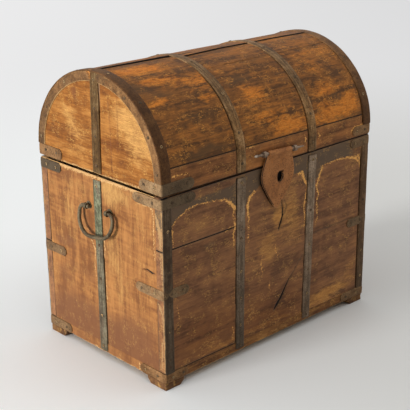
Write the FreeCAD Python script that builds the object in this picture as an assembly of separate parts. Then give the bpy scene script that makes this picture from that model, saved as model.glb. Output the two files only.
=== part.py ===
import FreeCAD, Part
import math
import os
from FreeCAD import Vector

# A dome top trunk: a plank box on four bracket feet, and a hinged lid of curved staves, both bound
# with flat iron straps. Millimetres. X runs along the front, Y from the front to the back, Z up,
# and the origin is on the floor under the middle of the trunk.

# ---- driving dimensions ----------------------------------------------------------------------
WIDTH = 560.0                 # box, along X
DEPTH = 352.0                 # box, along Y
BOARD = 18.0                  # thickness of the walls and of the lid
FOOT_H = 14.0
BOTTOM_T = 20.0               # bottom board, which shows all round under the walls
BODY_TOP = 371.0              # top edge of the box

FRONT_SEAMS = (200.0, 273.0)  # heights of the joints between the three front boards
BACK_SEAM = 200.0
END_SEAM_Y = 2.5              # joint between the two upright boards of each end

LID_HALF = 177.0              # half depth of the lid
LID_SPRING = 24.4             # height above the box where the lid's sides begin to curve
SHOULDER_R = 150.0            # small arcs of the three-centred arch
TANGENT = 60.0                # degrees from the vertical where they meet the crown arc
GAP_RIGHT = 0.8               # the lid has settled askew: gap under it at the right end
GAP_LEFT = 7.2                # and at the left end
RAIL_SEAM = 23.2              # joint of rail and first stave, above the spring line
CROWN_SEAM = 23.2             # degrees from the vertical of the joints between the upper staves

STRAP_T = 2.0                 # thickness of all flat iron
STRAP_W = 21.0
BRACE_H = 19.0                # the lid's corner braces
NAIL_HEAD_R = 3.4
NAIL_HEAD_H = 1.4
NAIL_R = 1.3
NAIL_LEN = 14.0

STRAP_LEFT = (-91.0, -87.0)   # front strap: its middle at the foot and at the top
STRAP_RIGHT = (98.5, 109.0)
LID_STRAPS = (-88.0, 106.0)   # the straps over the dome, which carry the hinges at the back
STRAP_FOOT = 20.0             # height of the lower ends of the straps
STRAP_HEAD = 364.0            # and of the upper ends on the front
FOOT_X = 46.0                 # each foot, along the front
FOOT_Y = 52.0                 # and along the end
FOOT_SLOPE = 9.0              # slope cut under its inner edges

# Each row of corner braces: lower and upper edge, then for each corner (side, face) the lengths of
# its legs along the face and along the end. Side -1 is the left end, face -1 the front.
BRACE_ROWS = {
    "top_braces": (350.0, 369.0,
                   {(-1, -1): (78, 76), (1, -1): (57, 70), (-1, 1): (64, 64), (1, 1): (60, 64)}),
    "middle_braces": (179.5, 198.5,
                      {(-1, -1): (59, 75), (1, -1): (59, 70), (-1, 1): (62, 66), (1, 1): (60, 66)}),
    "bottom_braces": (15.0, 34.0,
                      {(-1, -1): (53, 70), (1, -1): (71, 70), (-1, 1): (66, 70), (1, 1): (64, 70)}),
}
LID_BRACE_LEGS = {(-1, -1): (74, 58), (1, -1): (53, 62), (-1, 1): (66, 71), (1, 1): (60, 66)}

HANDLE_Y = -1.5               # middle of each bail
HANDLE_Z = 309.0              # height of the bails' pivots
HANDLE_OFF = 7.0              # their distance from the wall
BAIL_LEAN = 9.0               # degrees by which a bail stands off as it hangs
BAIL_R = 3.8                  # bail bar
BAIL_HALF = 48.5              # half width to the middle of the bar
BAIL_DROP = 54.0              # pivots to the lowest place of the middle of the bar
BAIL_SHOULDER = 12.0          # bend beside each eye
BAIL_BEND = 34.0              # bend at each lower corner
BAIL_SKEW = 7.5               # degrees by which the lower bar rises to the front
PINTLE_R = 2.9                # ends of the bail in the eyes
EYE_Y = 30.5                  # middle of each eye, from the middle of the bail
EYE_W = 6.0
EYE_R = 5.6
PLATE_R = 7.5                 # round plate under each eye
PLATE_T = 1.2
RUNNING = 0.06                # radial clearance of every turning pin

HASP_X = 7.0                  # middle of the hasp's pin
HASP_Z = BODY_TOP + 24.5
HASP_TILT = 3.4               # degrees: the hasp is nailed on askew, its right side lower
HASP_OFF = 6.0                # pin to the lid's front face
HASP_PIN_R = 2.8
HASP_BARREL_R = 5.4
HASP_BARREL_HALF = 31.0
HASP_EYE_U = 41.0             # middle of each eye, along the pin
HASP_PIN_HALF = 67.0
HASP_T = 2.5
HOLE_U = 5.0                  # hole in the hasp, across from its middle and down from its pin
HOLE_V = -49.5
HOLE_W = 13.0
HOLE_H = 20.0
NOTCH = 3.0                   # height of the notch that runs out of the hole's top to the right
RIM_BAR = 1.3                 # bead round the hole's right side

HINGE_Y = 183.5               # pin of both lid hinges
HINGE_Z = BODY_TOP + 3.0
KNUCKLE_R = 5.5
HINGE_PIN_R = 2.5
KNUCKLE_HALF = 4.0            # half length of the lid's knuckle
SIDE_GAP = 0.3                # between knuckles, and round the lock's bolt
TONGUE = 8.5                  # stop tongue of the lid's knuckle, from the pin

KEY_Z = 345.4                 # keyhole in the front board and the lock's case
KEY_W = 5.6
KEY_H = 12.0
CASE_HALF = 30.0              # half length of the lock's case
CASE_FRONT = -171.0
CASE_BACK = -150.0
CASE_FOOT = 303.0
BOLT_HALF = 12.0
BOLT_FRONT = -168.0
BOLT_BACK = -163.0
BOLT_FOOT = 355.0
STRIKE_HALF = 24.0
STRIKE_TOP = BODY_TOP + 6.2
BOLT_ROOM = BODY_TOP + 12.0   # top of the pocket above the strike plate

# ---- worked out ------------------------------------------------------------------------------
HALF_W = WIDTH / 2
HALF_D = DEPTH / 2
BOTTOM_TOP = FOOT_H + BOTTOM_T
INNER_W = HALF_W - BOARD
INNER_D = HALF_D - BOARD
SPRING_Z = BODY_TOP + LID_SPRING
SHOULDER_Y = LID_HALF - SHOULDER_R
CENTRES = SHOULDER_Y / math.sin(math.radians(TANGENT))
CROWN_R = SHOULDER_R + CENTRES
CROWN_Z = SPRING_Z - CENTRES * math.cos(math.radians(TANGENT))
RIM_Z = BODY_TOP + (GAP_LEFT + GAP_RIGHT) / 2
ASKEW = math.degrees(math.atan((GAP_LEFT - GAP_RIGHT) / WIDTH))
LID_BRACE_TOPS = {-1: BODY_TOP + 23.8, 1: BODY_TOP + 26.2}
HANDLE_X = HALF_W + HANDLE_OFF
HASP_Y = -(LID_HALF + HASP_OFF)

pieces = {}


# ---- helpers ---------------------------------------------------------------------------------
def box(x0, x1, y0, y1, z0, z1):
    return Part.makeBox(x1 - x0, y1 - y0, z1 - z0, Vector(x0, y0, z0))


def rod_x(x0, x1, y, z, radius):
    return Part.makeCylinder(radius, x1 - x0, Vector(x0, y, z), Vector(1, 0, 0))


def rod_y(y0, y1, x, z, radius):
    return Part.makeCylinder(radius, y1 - y0, Vector(x, y0, z), Vector(0, 1, 0))


def polygon(points):
    return Part.Face(Part.makePolygon(points + [points[0]]))


def prism_yz(points, x0, x1):
    """A polygon of (y, z) points, drawn out along X."""
    return polygon([Vector(x0, y, z) for y, z in points]).extrude(Vector(x1 - x0, 0, 0))


def prism_xz(points, y0, y1):
    """A polygon of (x, z) points, drawn out along Y."""
    return polygon([Vector(x, y0, z) for x, z in points]).extrude(Vector(0, y1 - y0, 0))


def mirrored(shape):
    """The same piece at the other end of the trunk."""
    return shape.mirror(Vector(0, 0, 0), Vector(1, 0, 0))


def touching(shape, tools):
    return [tool for tool in tools if shape.BoundBox.intersect(tool.BoundBox)]


def cut(shape, tools):
    near = touching(shape, tools)
    return shape.cut(near).removeSplitter() if near else shape


def keep(name, shape):
    pieces[name] = shape


# ---- the lid's arch --------------------------------------------------------------------------
def arch_point(angle, offset=0.0):
    """A point on the arch, offset outwards, and the outward direction there.
    The angle is from the vertical, negative towards the front."""
    turn = math.radians(angle)
    out = Vector(0, math.sin(turn), math.cos(turn))
    if abs(angle) <= TANGENT:
        centre = Vector(0, 0, CROWN_Z)
        radius = CROWN_R + offset
    else:
        centre = Vector(0, math.copysign(SHOULDER_Y, angle), SPRING_Z)
        radius = SHOULDER_R + offset
    return centre + out * radius, out


def arch_face(offset, foot, x):
    """The whole area under the arch, down to the height foot, in the plane at x."""
    def at(angle):
        return arch_point(angle, offset)[0] + Vector(x, 0, 0)

    half = LID_HALF + offset
    corners = [Vector(x, half, SPRING_Z), Vector(x, half, foot),
               Vector(x, -half, foot), Vector(x, -half, SPRING_Z)]
    edges = [
        Part.Arc(corners[3], at(-75), at(-TANGENT)).toShape(),
        Part.Arc(at(-TANGENT), at(0), at(TANGENT)).toShape(),
        Part.Arc(at(TANGENT), at(75), corners[0]).toShape(),
    ]
    edges += [Part.makeLine(corners[i], corners[i + 1]) for i in range(3)]
    return Part.Face(Part.Wire(Part.__sortEdges__(edges)))


def arch_solid(offset, foot, x0, x1):
    return arch_face(offset, foot, x0).extrude(Vector(x1 - x0, 0, 0))


def arch_ring(outer, inner, foot, x0, x1):
    """What lies between two offsets of the arch."""
    return arch_solid(outer, foot, x0, x1).cut(arch_solid(inner, foot - 10, x0 - 1, x1 + 1))


def settled(shape):
    """Turns a part of the lid, drawn level, by the little that the lid lies askew."""
    turned = shape.copy()
    turned.rotate(Vector(0, 0, RIM_Z), Vector(0, 1, 0), ASKEW)
    return turned


def all_below(height):
    reach = 400.0
    return box(-reach, reach, -reach, reach, 0, height)


UNDER_RIM = all_below(RIM_Z)


# ---- nails -----------------------------------------------------------------------------------
def nail():
    """A round headed nail along Z, its head's underside at zero."""
    shank = Part.makeCylinder(NAIL_R, NAIL_LEN, Vector(0, 0, -NAIL_LEN))
    dome_r = (NAIL_HEAD_R ** 2 + NAIL_HEAD_H ** 2) / (2 * NAIL_HEAD_H)
    ball = Part.makeSphere(dome_r, Vector(0, 0, NAIL_HEAD_H - dome_r))
    head = ball.common(box(-4, 4, -4, 4, 0, 4))
    return shank.fuse(head).removeSplitter()


NAIL = nail()


class Nails:
    """The nails of one body, and the holes that they fill."""

    def __init__(self):
        self.solids = []
        self.holes = []

    def add(self, point, out):
        solid = NAIL.copy()
        solid.Placement = FreeCAD.Placement(point, FreeCAD.Rotation(Vector(0, 0, 1), out))
        self.solids.append(solid)
        self.holes.append(Part.makeCylinder(NAIL_R, NAIL_LEN, point - out * NAIL_LEN, out))

    def settle(self):
        self.solids = [settled(solid) for solid in self.solids]
        self.holes = [settled(hole) for hole in self.holes]


trunk_nails = Nails()
lid_nails = Nails()
FRONT = Vector(0, -1, 0)
BACK = Vector(0, 1, 0)


# ---- flat iron -------------------------------------------------------------------------------
def leg_face(along, root, length, low, high, rounded):
    """The face of a flat leg between two heights, which runs from root in the direction along.
    Its end is a half circle, or is blunt with its corners cut off."""
    half = (high - low) / 2
    end = length - half if rounded else length - half * 0.6
    tip = root + along * length
    a = root + Vector(0, 0, low)
    b = root + along * end + Vector(0, 0, low)
    c = root + along * end + Vector(0, 0, high)
    d = root + Vector(0, 0, high)
    m = tip + Vector(0, 0, low + half)
    if rounded:
        nose = [Part.Arc(b, m, c).toShape()]
    else:
        flat = half * 0.35
        p = m - Vector(0, 0, flat)
        q = m + Vector(0, 0, flat)
        nose = [Part.makeLine(b, p), Part.makeLine(p, q), Part.makeLine(q, c)]
    wire = Part.Wire([Part.makeLine(a, b)] + nose + [Part.makeLine(c, d), Part.makeLine(d, a)])
    return Part.Face(wire)


def corner_brace(side, face, half_d, low, high, leg_x, leg_y, rounded, nails):
    """An L-shaped strip bent round an upright corner, nailed on both faces.
    side is -1 at the left end and 1 at the right; face is -1 in front and 1 behind."""
    corner_x = side * HALF_W
    corner_y = face * half_d
    out_x = side * STRAP_T
    out_y = face * STRAP_T
    on_face = leg_face(Vector(-side, 0, 0), Vector(corner_x + out_x, corner_y, 0),
                       leg_x + STRAP_T, low, high, rounded).extrude(Vector(0, out_y, 0))
    on_end = leg_face(Vector(0, -face, 0), Vector(corner_x, corner_y, 0),
                      leg_y, low, high, rounded).extrude(Vector(out_x, 0, 0))
    middle = (low + high) / 2
    for part in (0.3, 0.78):
        nails.add(Vector(corner_x - side * leg_x * part, corner_y + out_y, middle), Vector(0, face, 0))
        nails.add(Vector(corner_x + out_x, corner_y - face * leg_y * part, middle), Vector(side, 0, 0))
    return on_face.fuse(on_end).removeSplitter()


def slanting_strap(foot_x, top_x, low, high):
    """A strap on the front face whose middle runs from foot_x to top_x."""
    half = STRAP_W / 2
    points = [(foot_x - half, low), (foot_x + half, low), (top_x + half, high), (top_x - half, high)]
    return prism_xz(points, -HALF_D - STRAP_T, -HALF_D)


# ---- the box ---------------------------------------------------------------------------------
def feet():
    for side, end in ((-1, "left"), (1, "right")):
        for face, depth in ((-1, "front"), (1, "back")):
            outer_x = side * HALF_W
            outer_y = face * HALF_D
            inner_x = outer_x - side * FOOT_X
            inner_y = outer_y - face * FOOT_Y
            along = prism_xz([(outer_x, 0), (inner_x + side * FOOT_SLOPE, 0), (inner_x, FOOT_SLOPE),
                              (inner_x, FOOT_H), (outer_x, FOOT_H)],
                             min(outer_y, inner_y), max(outer_y, inner_y))
            across = prism_yz([(outer_y, 0), (inner_y + face * FOOT_SLOPE, 0), (inner_y, FOOT_SLOPE),
                               (inner_y, FOOT_H), (outer_y, FOOT_H)],
                              min(outer_x, inner_x), max(outer_x, inner_x))
            keep(f"foot_{depth}_{end}", along.common(across))


def lock_pocket():
    """The space in the front board that the lock's case fills."""
    return box(HASP_X - CASE_HALF, HASP_X + CASE_HALF, CASE_FRONT, -INNER_D, CASE_FOOT, BODY_TOP)


def boards():
    keep("bottom_board", box(-HALF_W, HALF_W, -HALF_D, HALF_D, FOOT_H, BOTTOM_TOP))
    low, high = FRONT_SEAMS
    levels = (("lower", BOTTOM_TOP, low), ("middle", low, high), ("upper", high, BODY_TOP))
    keyhole = box(HASP_X - KEY_W / 2, HASP_X + KEY_W / 2, -HALF_D - 1, CASE_FRONT + 1,
                  KEY_Z - KEY_H / 2, KEY_Z + KEY_H / 2)
    for level, z0, z1 in levels:
        board = box(-HALF_W, HALF_W, -HALF_D, -INNER_D, z0, z1)
        if level == "upper":
            board = board.cut([lock_pocket(), keyhole])
        keep(f"front_board_{level}", board)
    keep("back_board_lower", box(-HALF_W, HALF_W, INNER_D, HALF_D, BOTTOM_TOP, BACK_SEAM))
    keep("back_board_upper", box(-HALF_W, HALF_W, INNER_D, HALF_D, BACK_SEAM, BODY_TOP))
    for end, x0 in (("left", -HALF_W), ("right", INNER_W)):
        keep(f"{end}_end_board_front", box(x0, x0 + BOARD, -INNER_D, END_SEAM_Y, BOTTOM_TOP, BODY_TOP))
        keep(f"{end}_end_board_back", box(x0, x0 + BOARD, END_SEAM_Y, INNER_D, BOTTOM_TOP, BODY_TOP))


def box_braces():
    for name, (low, high, corners) in BRACE_ROWS.items():
        group = []
        for (side, face), (leg_x, leg_y) in corners.items():
            group.append(corner_brace(side, face, HALF_D, low, high, leg_x, leg_y, face < 0, trunk_nails))
        keep(name, Part.Compound(group))


def box_straps():
    """The straps up the corners and ends, which pass under no brace, and those up the front."""
    braces = [pieces[name] for name in BRACE_ROWS]
    corner_low = BRACE_ROWS["bottom_braces"][1]
    corner_high = BRACE_ROWS["top_braces"][0]
    for side, end in ((-1, "left"), (1, "right")):
        edge = side * HALF_W
        inner = edge - side * STRAP_W
        for face, depth in ((-1, "front"), (1, "back")):
            wood = face * HALF_D
            outer = face * (HALF_D + STRAP_T)
            strap = box(min(edge, inner), max(edge, inner), min(wood, outer), max(wood, outer),
                        corner_low, corner_high)
            keep(f"corner_strap_{depth}_{end}", cut(strap, braces))
            for z in (60.0, 118.0, 232.0, 310.0):
                trunk_nails.add(Vector((edge + inner) / 2, outer, z), Vector(0, face, 0))
        x0, x1 = sorted((edge, edge + side * STRAP_T))
        keep(f"end_strap_{end}", box(x0, x1, END_SEAM_Y - STRAP_W / 2, END_SEAM_Y + STRAP_W / 2,
                                     18.0, 363.0))
        for z in (28.0, 92.0, 168.0, 236.0, 352.0):
            trunk_nails.add(Vector(edge + side * STRAP_T, END_SEAM_Y, z), Vector(side, 0, 0))
    rows = {"left": (STRAP_LEFT, (27.0, 69.0, 125.0, 179.5, 247.0, 355.0)),
            "right": (STRAP_RIGHT, (27.0, 74.0, 126.0, 179.5, 252.0, 355.0))}
    for end, ((foot_x, top_x), heights) in rows.items():
        keep(f"front_strap_{end}", slanting_strap(foot_x, top_x, STRAP_FOOT, STRAP_HEAD))
        for z in heights:
            part = (z - STRAP_FOOT) / (STRAP_HEAD - STRAP_FOOT)
            x = foot_x + (top_x - foot_x) * part
            trunk_nails.add(Vector(x, -HALF_D - STRAP_T, z), FRONT)


# ---- hinges ----------------------------------------------------------------------------------
def hinge_half_widths():
    """Where the two outer knuckles lie, from the middle of the hinge."""
    start = KNUCKLE_HALF + SIDE_GAP
    return ((-STRAP_W / 2, -start), (start, STRAP_W / 2))


def back_hinges():
    """The straps down the back, whose tops are rolled round the hinge pins."""
    top = BODY_TOP - 5.0
    pin_head = 1.6
    for x, end in zip(LID_STRAPS, ("left", "right")):
        strap = box(x - STRAP_W / 2, x + STRAP_W / 2, HALF_D, HALF_D + STRAP_T, STRAP_FOOT, top)
        parts = []
        for a, b in hinge_half_widths():
            parts.append(rod_x(x + a, x + b, HINGE_Y, HINGE_Z, KNUCKLE_R))
            parts.append(box(x + a, x + b, HALF_D, HINGE_Y, top - 4.0, BODY_TOP))
        strap = strap.fuse(parts).removeSplitter()
        bore = rod_x(x - STRAP_W, x + STRAP_W, HINGE_Y, HINGE_Z, HINGE_PIN_R)
        keep(f"hinge_strap_{end}", strap.cut(bore))
        head = rod_x(x - STRAP_W / 2 - pin_head, x - STRAP_W / 2, HINGE_Y, HINGE_Z,
                     HINGE_PIN_R + pin_head)
        pin = rod_x(x - STRAP_W / 2, x + STRAP_W / 2 + 1.5, HINGE_Y, HINGE_Z, HINGE_PIN_R)
        keep(f"hinge_pin_{end}", pin.fuse(head).removeSplitter())
        for z in (30.0, 96.0, 165.0, 240.0, 335.0):
            trunk_nails.add(Vector(x, HALF_D + STRAP_T, z), BACK)


def lid_knuckle(x):
    """The rolled end of a lid strap, with the tongue that stops the lid when it leans back."""
    a = x - KNUCKLE_HALF
    b = x + KNUCKLE_HALF
    ring = rod_x(a, b, HINGE_Y, HINGE_Z, KNUCKLE_R)
    neck = box(a, b, LID_HALF, HINGE_Y, HINGE_Z + 3.5, HINGE_Z + 10.0)
    tongue = box(a, b, HINGE_Y, HINGE_Y + TONGUE, HINGE_Z - 1.0, HINGE_Z + 1.0)
    return ring.fuse([neck, tongue])


# ---- the lid ---------------------------------------------------------------------------------
def sector(points):
    return prism_yz(points, -HALF_W, HALF_W)


def lid_boards():
    shell = arch_ring(0.0, -BOARD, BODY_TOP - 5.0, -HALF_W, HALF_W).cut(UNDER_RIM)
    seam = math.asin(RAIL_SEAM / SHOULDER_R)
    crown = math.radians(CROWN_SEAM)
    far = 600.0
    near = 100.0
    for face, depth in ((-1, "front"), (1, "back")):
        root = (face * SHOULDER_Y, SPRING_Z)
        rail_end = (root[0] + face * far * math.cos(seam), root[1] + far * math.sin(seam))
        crown_near = (face * near * math.sin(crown), CROWN_Z + near * math.cos(crown))
        crown_far = (face * far * math.sin(crown), CROWN_Z + far * math.cos(crown))
        rail = sector([root, rail_end, (face * far, 0), (root[0], 0)])
        shoulder = sector([root, rail_end, (face * far, CROWN_Z + far), crown_far, crown_near])
        top = sector([crown_near, crown_far, (0, CROWN_Z + far), (0, CROWN_Z + near)])
        keep(f"lid_rail_{depth}", settled(shell.common(rail)))
        keep(f"stave_shoulder_{depth}", settled(shell.common(shoulder)))
        keep(f"stave_crown_{depth}", settled(shell.common(top)))
    panel = arch_solid(-BOARD, BODY_TOP - 5.0, -HALF_W, -INNER_W).cut(UNDER_RIM)
    keep("lid_end_left", settled(panel))
    keep("lid_end_right", settled(mirrored(panel)))


def lid_braces():
    group = []
    for (side, face), (leg_x, leg_y) in LID_BRACE_LEGS.items():
        top = LID_BRACE_TOPS[side]
        brace = corner_brace(side, face, LID_HALF, top - BRACE_H, top, leg_x, leg_y, face < 0, lid_nails)
        group.append(settled(brace))
    keep("lid_braces", Part.Compound(group))


def placed(x, point_and_out):
    """A point of the arch and its direction, moved along the trunk to x."""
    point, out = point_and_out
    return point + Vector(x, 0, 0), out


def lid_straps():
    over = arch_ring(STRAP_T, 0.0, BODY_TOP - 5.0, 0.0, STRAP_W)
    back_end = box(-1.0, STRAP_W + 1.0, 0, LID_HALF + 20, 0, HINGE_Z + 5.6)
    over = over.cut(back_end)
    for x, end in zip(LID_STRAPS, ("left", "right")):
        strap = over.copy()
        strap.translate(Vector(x - STRAP_W / 2, 0, 0))
        strap = settled(strap.cut(UNDER_RIM)).fuse(lid_knuckle(x)).removeSplitter()
        bore = rod_x(x - STRAP_W, x + STRAP_W, HINGE_Y, HINGE_Z, HINGE_PIN_R + RUNNING)
        keep(f"lid_strap_{end}", strap.cut(bore))
        for angle in (-70.0, -44.0, -14.0, 16.0, 46.0, 72.0):
            lid_nails.add(*placed(x, arch_point(angle, STRAP_T)))
        for face in (-1, 1):
            lid_nails.add(Vector(x, face * (LID_HALF + STRAP_T), BODY_TOP + 20.0), Vector(0, face, 0))


def end_ironwork():
    """On each end of the lid: the band along the dome's edge, the arched band on the end face,
    and the strap up its middle, which lies over the arched band."""
    half = 11.5
    middle = -0.5
    for side, end in ((-1, "left"), (1, "right")):
        covered = all_below(LID_BRACE_TOPS[side])
        wood, outer, inner = (side * (HALF_W + step) for step in (0, STRAP_T, -STRAP_W))
        edge_band = arch_ring(STRAP_T, 0.0, BODY_TOP, *sorted((outer, inner))).cut(covered)
        face_band = arch_ring(0.0, -BOARD - 0.5, BODY_TOP, *sorted((wood, outer))).cut(covered)
        x0, x1 = sorted((wood, outer))
        strap = box(x0, x1, middle - half, middle + half, BODY_TOP, BODY_TOP + 300.0)
        strap = strap.common(arch_solid(0.0, BODY_TOP, x0 - 1, x1 + 1))
        keep(f"dome_band_{end}", settled(edge_band))
        keep(f"arch_band_{end}", settled(face_band.cut(strap)))
        keep(f"lid_end_strap_{end}", settled(strap.cut(UNDER_RIM)))
        out = Vector(side, 0, 0)
        for z in (18.0, 72.0, 124.0, 176.0):
            lid_nails.add(Vector(outer, middle, BODY_TOP + z), out)
        for angle in (-84.0, -58.0, -30.0, 30.0, 58.0, 84.0):
            point = arch_point(angle, -BOARD / 2)[0]
            lid_nails.add(Vector(outer, point.y, point.z), out)
        for angle in (-66.0, -38.0, -9.0, 20.0, 48.0, 74.0):
            lid_nails.add(*placed(side * (HALF_W - STRAP_W / 2), arch_point(angle, STRAP_T)))


# ---- handles ---------------------------------------------------------------------------------
def bail():
    """A round bar out of each eye, down, and across below, with thinner ends in the eyes. It is
    drawn upright, and then leans out by BAIL_LEAN."""
    x = -HANDLE_X
    start = EYE_Y + EYE_W / 2 + 0.5
    turn_y = BAIL_HALF - BAIL_SHOULDER
    turn_z = HANDLE_Z - BAIL_SHOULDER
    bend_y = BAIL_HALF - BAIL_BEND
    skew = math.radians(BAIL_SKEW)
    back_z = HANDLE_Z - BAIL_DROP + BAIL_BEND
    bend_z = {1: back_z, -1: back_z + 2 * bend_y * math.tan(skew)}

    def p(y, z):
        return Vector(x, y, z)

    def bend(way, angle):
        """A point of a lower bend, by its angle below the level."""
        return p(way * (bend_y + BAIL_BEND * math.cos(angle)), bend_z[way] - BAIL_BEND * math.sin(angle))

    def limb(way, last):
        """From an eye out, down, and round the lower bend."""
        s = math.sin(math.radians(45))
        return [
            Part.makeLine(p(way * start, HANDLE_Z), p(way * turn_y, HANDLE_Z)),
            Part.Arc(p(way * turn_y, HANDLE_Z),
                     p(way * (turn_y + BAIL_SHOULDER * s), turn_z + BAIL_SHOULDER * s),
                     p(way * BAIL_HALF, turn_z)).toShape(),
            Part.makeLine(p(way * BAIL_HALF, turn_z), bend(way, 0)),
            Part.Arc(bend(way, 0), bend(way, last / 2), bend(way, last)).toShape(),
        ]

    square = math.pi / 2
    across = Part.makeLine(bend(1, square + skew), bend(-1, square - skew))
    edges = limb(1, square + skew) + [across] + limb(-1, square - skew)
    path = Part.Wire(Part.__sortEdges__(edges))
    section = Part.Wire(Part.makeCircle(BAIL_R, path.OrderedVertexes[0].Point, Vector(0, 1, 0)))
    bar = path.makePipeShell([section], True, True)
    ends = []
    for way in (-1, 1):
        near = way * (EYE_Y - EYE_W / 2 - 4.0)
        inner = way * (EYE_Y - EYE_W / 2 - 0.5)
        ends.append(rod_y(*sorted((inner, way * start)), x, HANDLE_Z, PINTLE_R))
        ends.append(rod_y(*sorted((near, inner)), x, HANDLE_Z, BAIL_R))
    whole = bar.fuse(ends).removeSplitter()
    whole.rotate(p(0, HANDLE_Z), Vector(0, 1, 0), BAIL_LEAN)
    whole.translate(Vector(0, HANDLE_Y, 0))
    return whole


def bail_eyes():
    """Two forged eyes, each with a small round plate on the wall and a shank through it."""
    x = -HANDLE_X
    solids = []
    for way in (-1, 1):
        y = HANDLE_Y + way * EYE_Y
        ring = rod_y(y - EYE_W / 2, y + EYE_W / 2, x, HANDLE_Z, EYE_R)
        neck = rod_x(x + 2.0, -INNER_W, y, HANDLE_Z, 2.9)
        plate = rod_x(-HALF_W - PLATE_T, -HALF_W, y, HANDLE_Z, PLATE_R)
        eye = ring.fuse([neck, plate]).removeSplitter()
        solids.append(eye.cut(rod_y(y - EYE_W, y + EYE_W, x, HANDLE_Z, PINTLE_R + RUNNING)))
    return Part.Compound(solids)


def handles():
    handle = bail()
    eyes = bail_eyes()
    keep("handle_left", handle)
    keep("handle_right", mirrored(handle))
    keep("handle_eyes_left", eyes)
    keep("handle_eyes_right", mirrored(eyes))


# ---- hasp and lock ---------------------------------------------------------------------------
def askew(shape):
    """Turns what belongs to the hasp by its tilt, about the middle of its pin."""
    turned = shape.copy()
    turned.rotate(Vector(HASP_X, 0, HASP_Z), Vector(0, 1, 0), HASP_TILT)
    return turned


def hasp_outline():
    """A shield shape that hangs from the barrel and narrows to a rounded tip."""
    y = HASP_Y
    bar = HASP_BARREL_HALF
    half = [(bar, 0), (39.5, -20), (44.5, -42), (41.5, -58), (33, -72), (19.5, -91), (4, -108.5)]
    tip = (0, -111)

    def p(u, v):
        return Vector(HASP_X + u, y, HASP_Z + v)

    def arc(a, b, c, way):
        return Part.Arc(p(way * a[0], a[1]), p(way * b[0], b[1]), p(way * c[0], c[1])).toShape()

    edges = [Part.makeLine(p(-bar, 0), p(bar, 0))]
    for way in (-1, 1):
        for first in (0, 2, 4):
            edges.append(arc(half[first], half[first + 1], half[first + 2], way))
    end = half[-1]
    edges.append(Part.Arc(p(-end[0], end[1]), p(*tip), p(*end)).toShape())
    return Part.Face(Part.Wire(Part.__sortEdges__(edges)))


def hasp():
    plate = hasp_outline().extrude(Vector(0, HASP_T, 0))
    barrel = rod_x(HASP_X - HASP_BARREL_HALF, HASP_X + HASP_BARREL_HALF, HASP_Y, HASP_Z, HASP_BARREL_R)
    bore = rod_x(HASP_X - 100, HASP_X + 100, HASP_Y, HASP_Z, HASP_PIN_R + RUNNING)
    x = HASP_X + HOLE_U
    z = HASP_Z + HOLE_V
    half = (HOLE_H - HOLE_W) / 2
    y0 = HASP_Y - 10
    y1 = HASP_Y + 10
    hole = box(x - HOLE_W / 2, x + HOLE_W / 2, y0, y1, z - half, z + half)
    hole = hole.fuse([rod_y(y0, y1, x, z + way * half, HOLE_W / 2) for way in (-1, 1)])
    hole_top = z + HOLE_H / 2
    hole = hole.fuse(box(x, x + HOLE_W / 2 + 1.5, y0, y1, hole_top - NOTCH, hole_top))
    keep("hasp_plate", askew(plate.fuse(barrel).cut([bore, hole]).removeSplitter()))

    bead_r = HOLE_W / 2 + RIM_BAR + 0.3
    bead = Part.makeTorus(bead_r, RIM_BAR, Vector(x, HASP_Y, z), Vector(0, 1, 0))
    proud = box(x, x + 20, HASP_Y - 5, HASP_Y, z - 20, hole_top - NOTCH - 1.0)
    keep("keyhole_rim", askew(bead.common(proud)))

    keep("hasp_pin", askew(rod_x(HASP_X - HASP_PIN_HALF, HASP_X + HASP_PIN_HALF,
                                 HASP_Y, HASP_Z, HASP_PIN_R)))
    eyes = []
    for way in (-1, 1):
        u = HASP_X + way * HASP_EYE_U
        ring = rod_x(u - 3.5, u + 3.5, HASP_Y, HASP_Z, 5.7)
        shank = rod_y(HASP_Y, -LID_HALF + BOARD, u, HASP_Z, 3.0)
        eye = ring.fuse(shank).removeSplitter()
        eyes.append(askew(eye.cut(rod_x(u - 10, u + 10, HASP_Y, HASP_Z, HASP_PIN_R))))
    keep("hasp_eyes", Part.Compound(eyes))


def lock():
    """A case let into the front board, a bolt that rises from it, and the plate that takes the
    bolt in the lid's rail."""
    room = SIDE_GAP
    channel = box(HASP_X - BOLT_HALF - room, HASP_X + BOLT_HALF + room, BOLT_FRONT - room,
                  BOLT_BACK + room, BOLT_FOOT - room, BODY_TOP + 1)
    chamber = box(HASP_X - KEY_W / 2, HASP_X + KEY_W / 2, CASE_FRONT - 1, CASE_BACK - 3,
                  KEY_Z - KEY_H / 2, KEY_Z + KEY_H / 2)
    case = box(HASP_X - CASE_HALF, HASP_X + CASE_HALF, CASE_FRONT, CASE_BACK, CASE_FOOT, BODY_TOP)
    keep("lock_case", case.cut([channel, chamber]))
    keep("lock_bolt", box(HASP_X - BOLT_HALF, HASP_X + BOLT_HALF, BOLT_FRONT, BOLT_BACK,
                          BOLT_FOOT, BODY_TOP - 0.5))
    slot = box(HASP_X - BOLT_HALF - 1, HASP_X + BOLT_HALF + 1, BOLT_FRONT - 0.5, BOLT_BACK + 0.5,
               BODY_TOP, BOLT_ROOM)
    plate = box(HASP_X - STRIKE_HALF, HASP_X + STRIKE_HALF, BOLT_FRONT - 4, BOLT_BACK + 2,
                BODY_TOP, STRIKE_TOP)
    keep("strike_plate", plate.cut([slot, settled(UNDER_RIM)]))
    pieces["lid_rail_front"] = pieces["lid_rail_front"].cut([plate, slot])


# ---- assembly --------------------------------------------------------------------------------
def drill(names, holes):
    for name in names:
        pieces[name] = cut(pieces[name], holes)


feet()
boards()
box_braces()
box_straps()
back_hinges()
lid_boards()
lid_braces()
lid_straps()
end_ironwork()
handles()
hasp()
lock()

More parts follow.
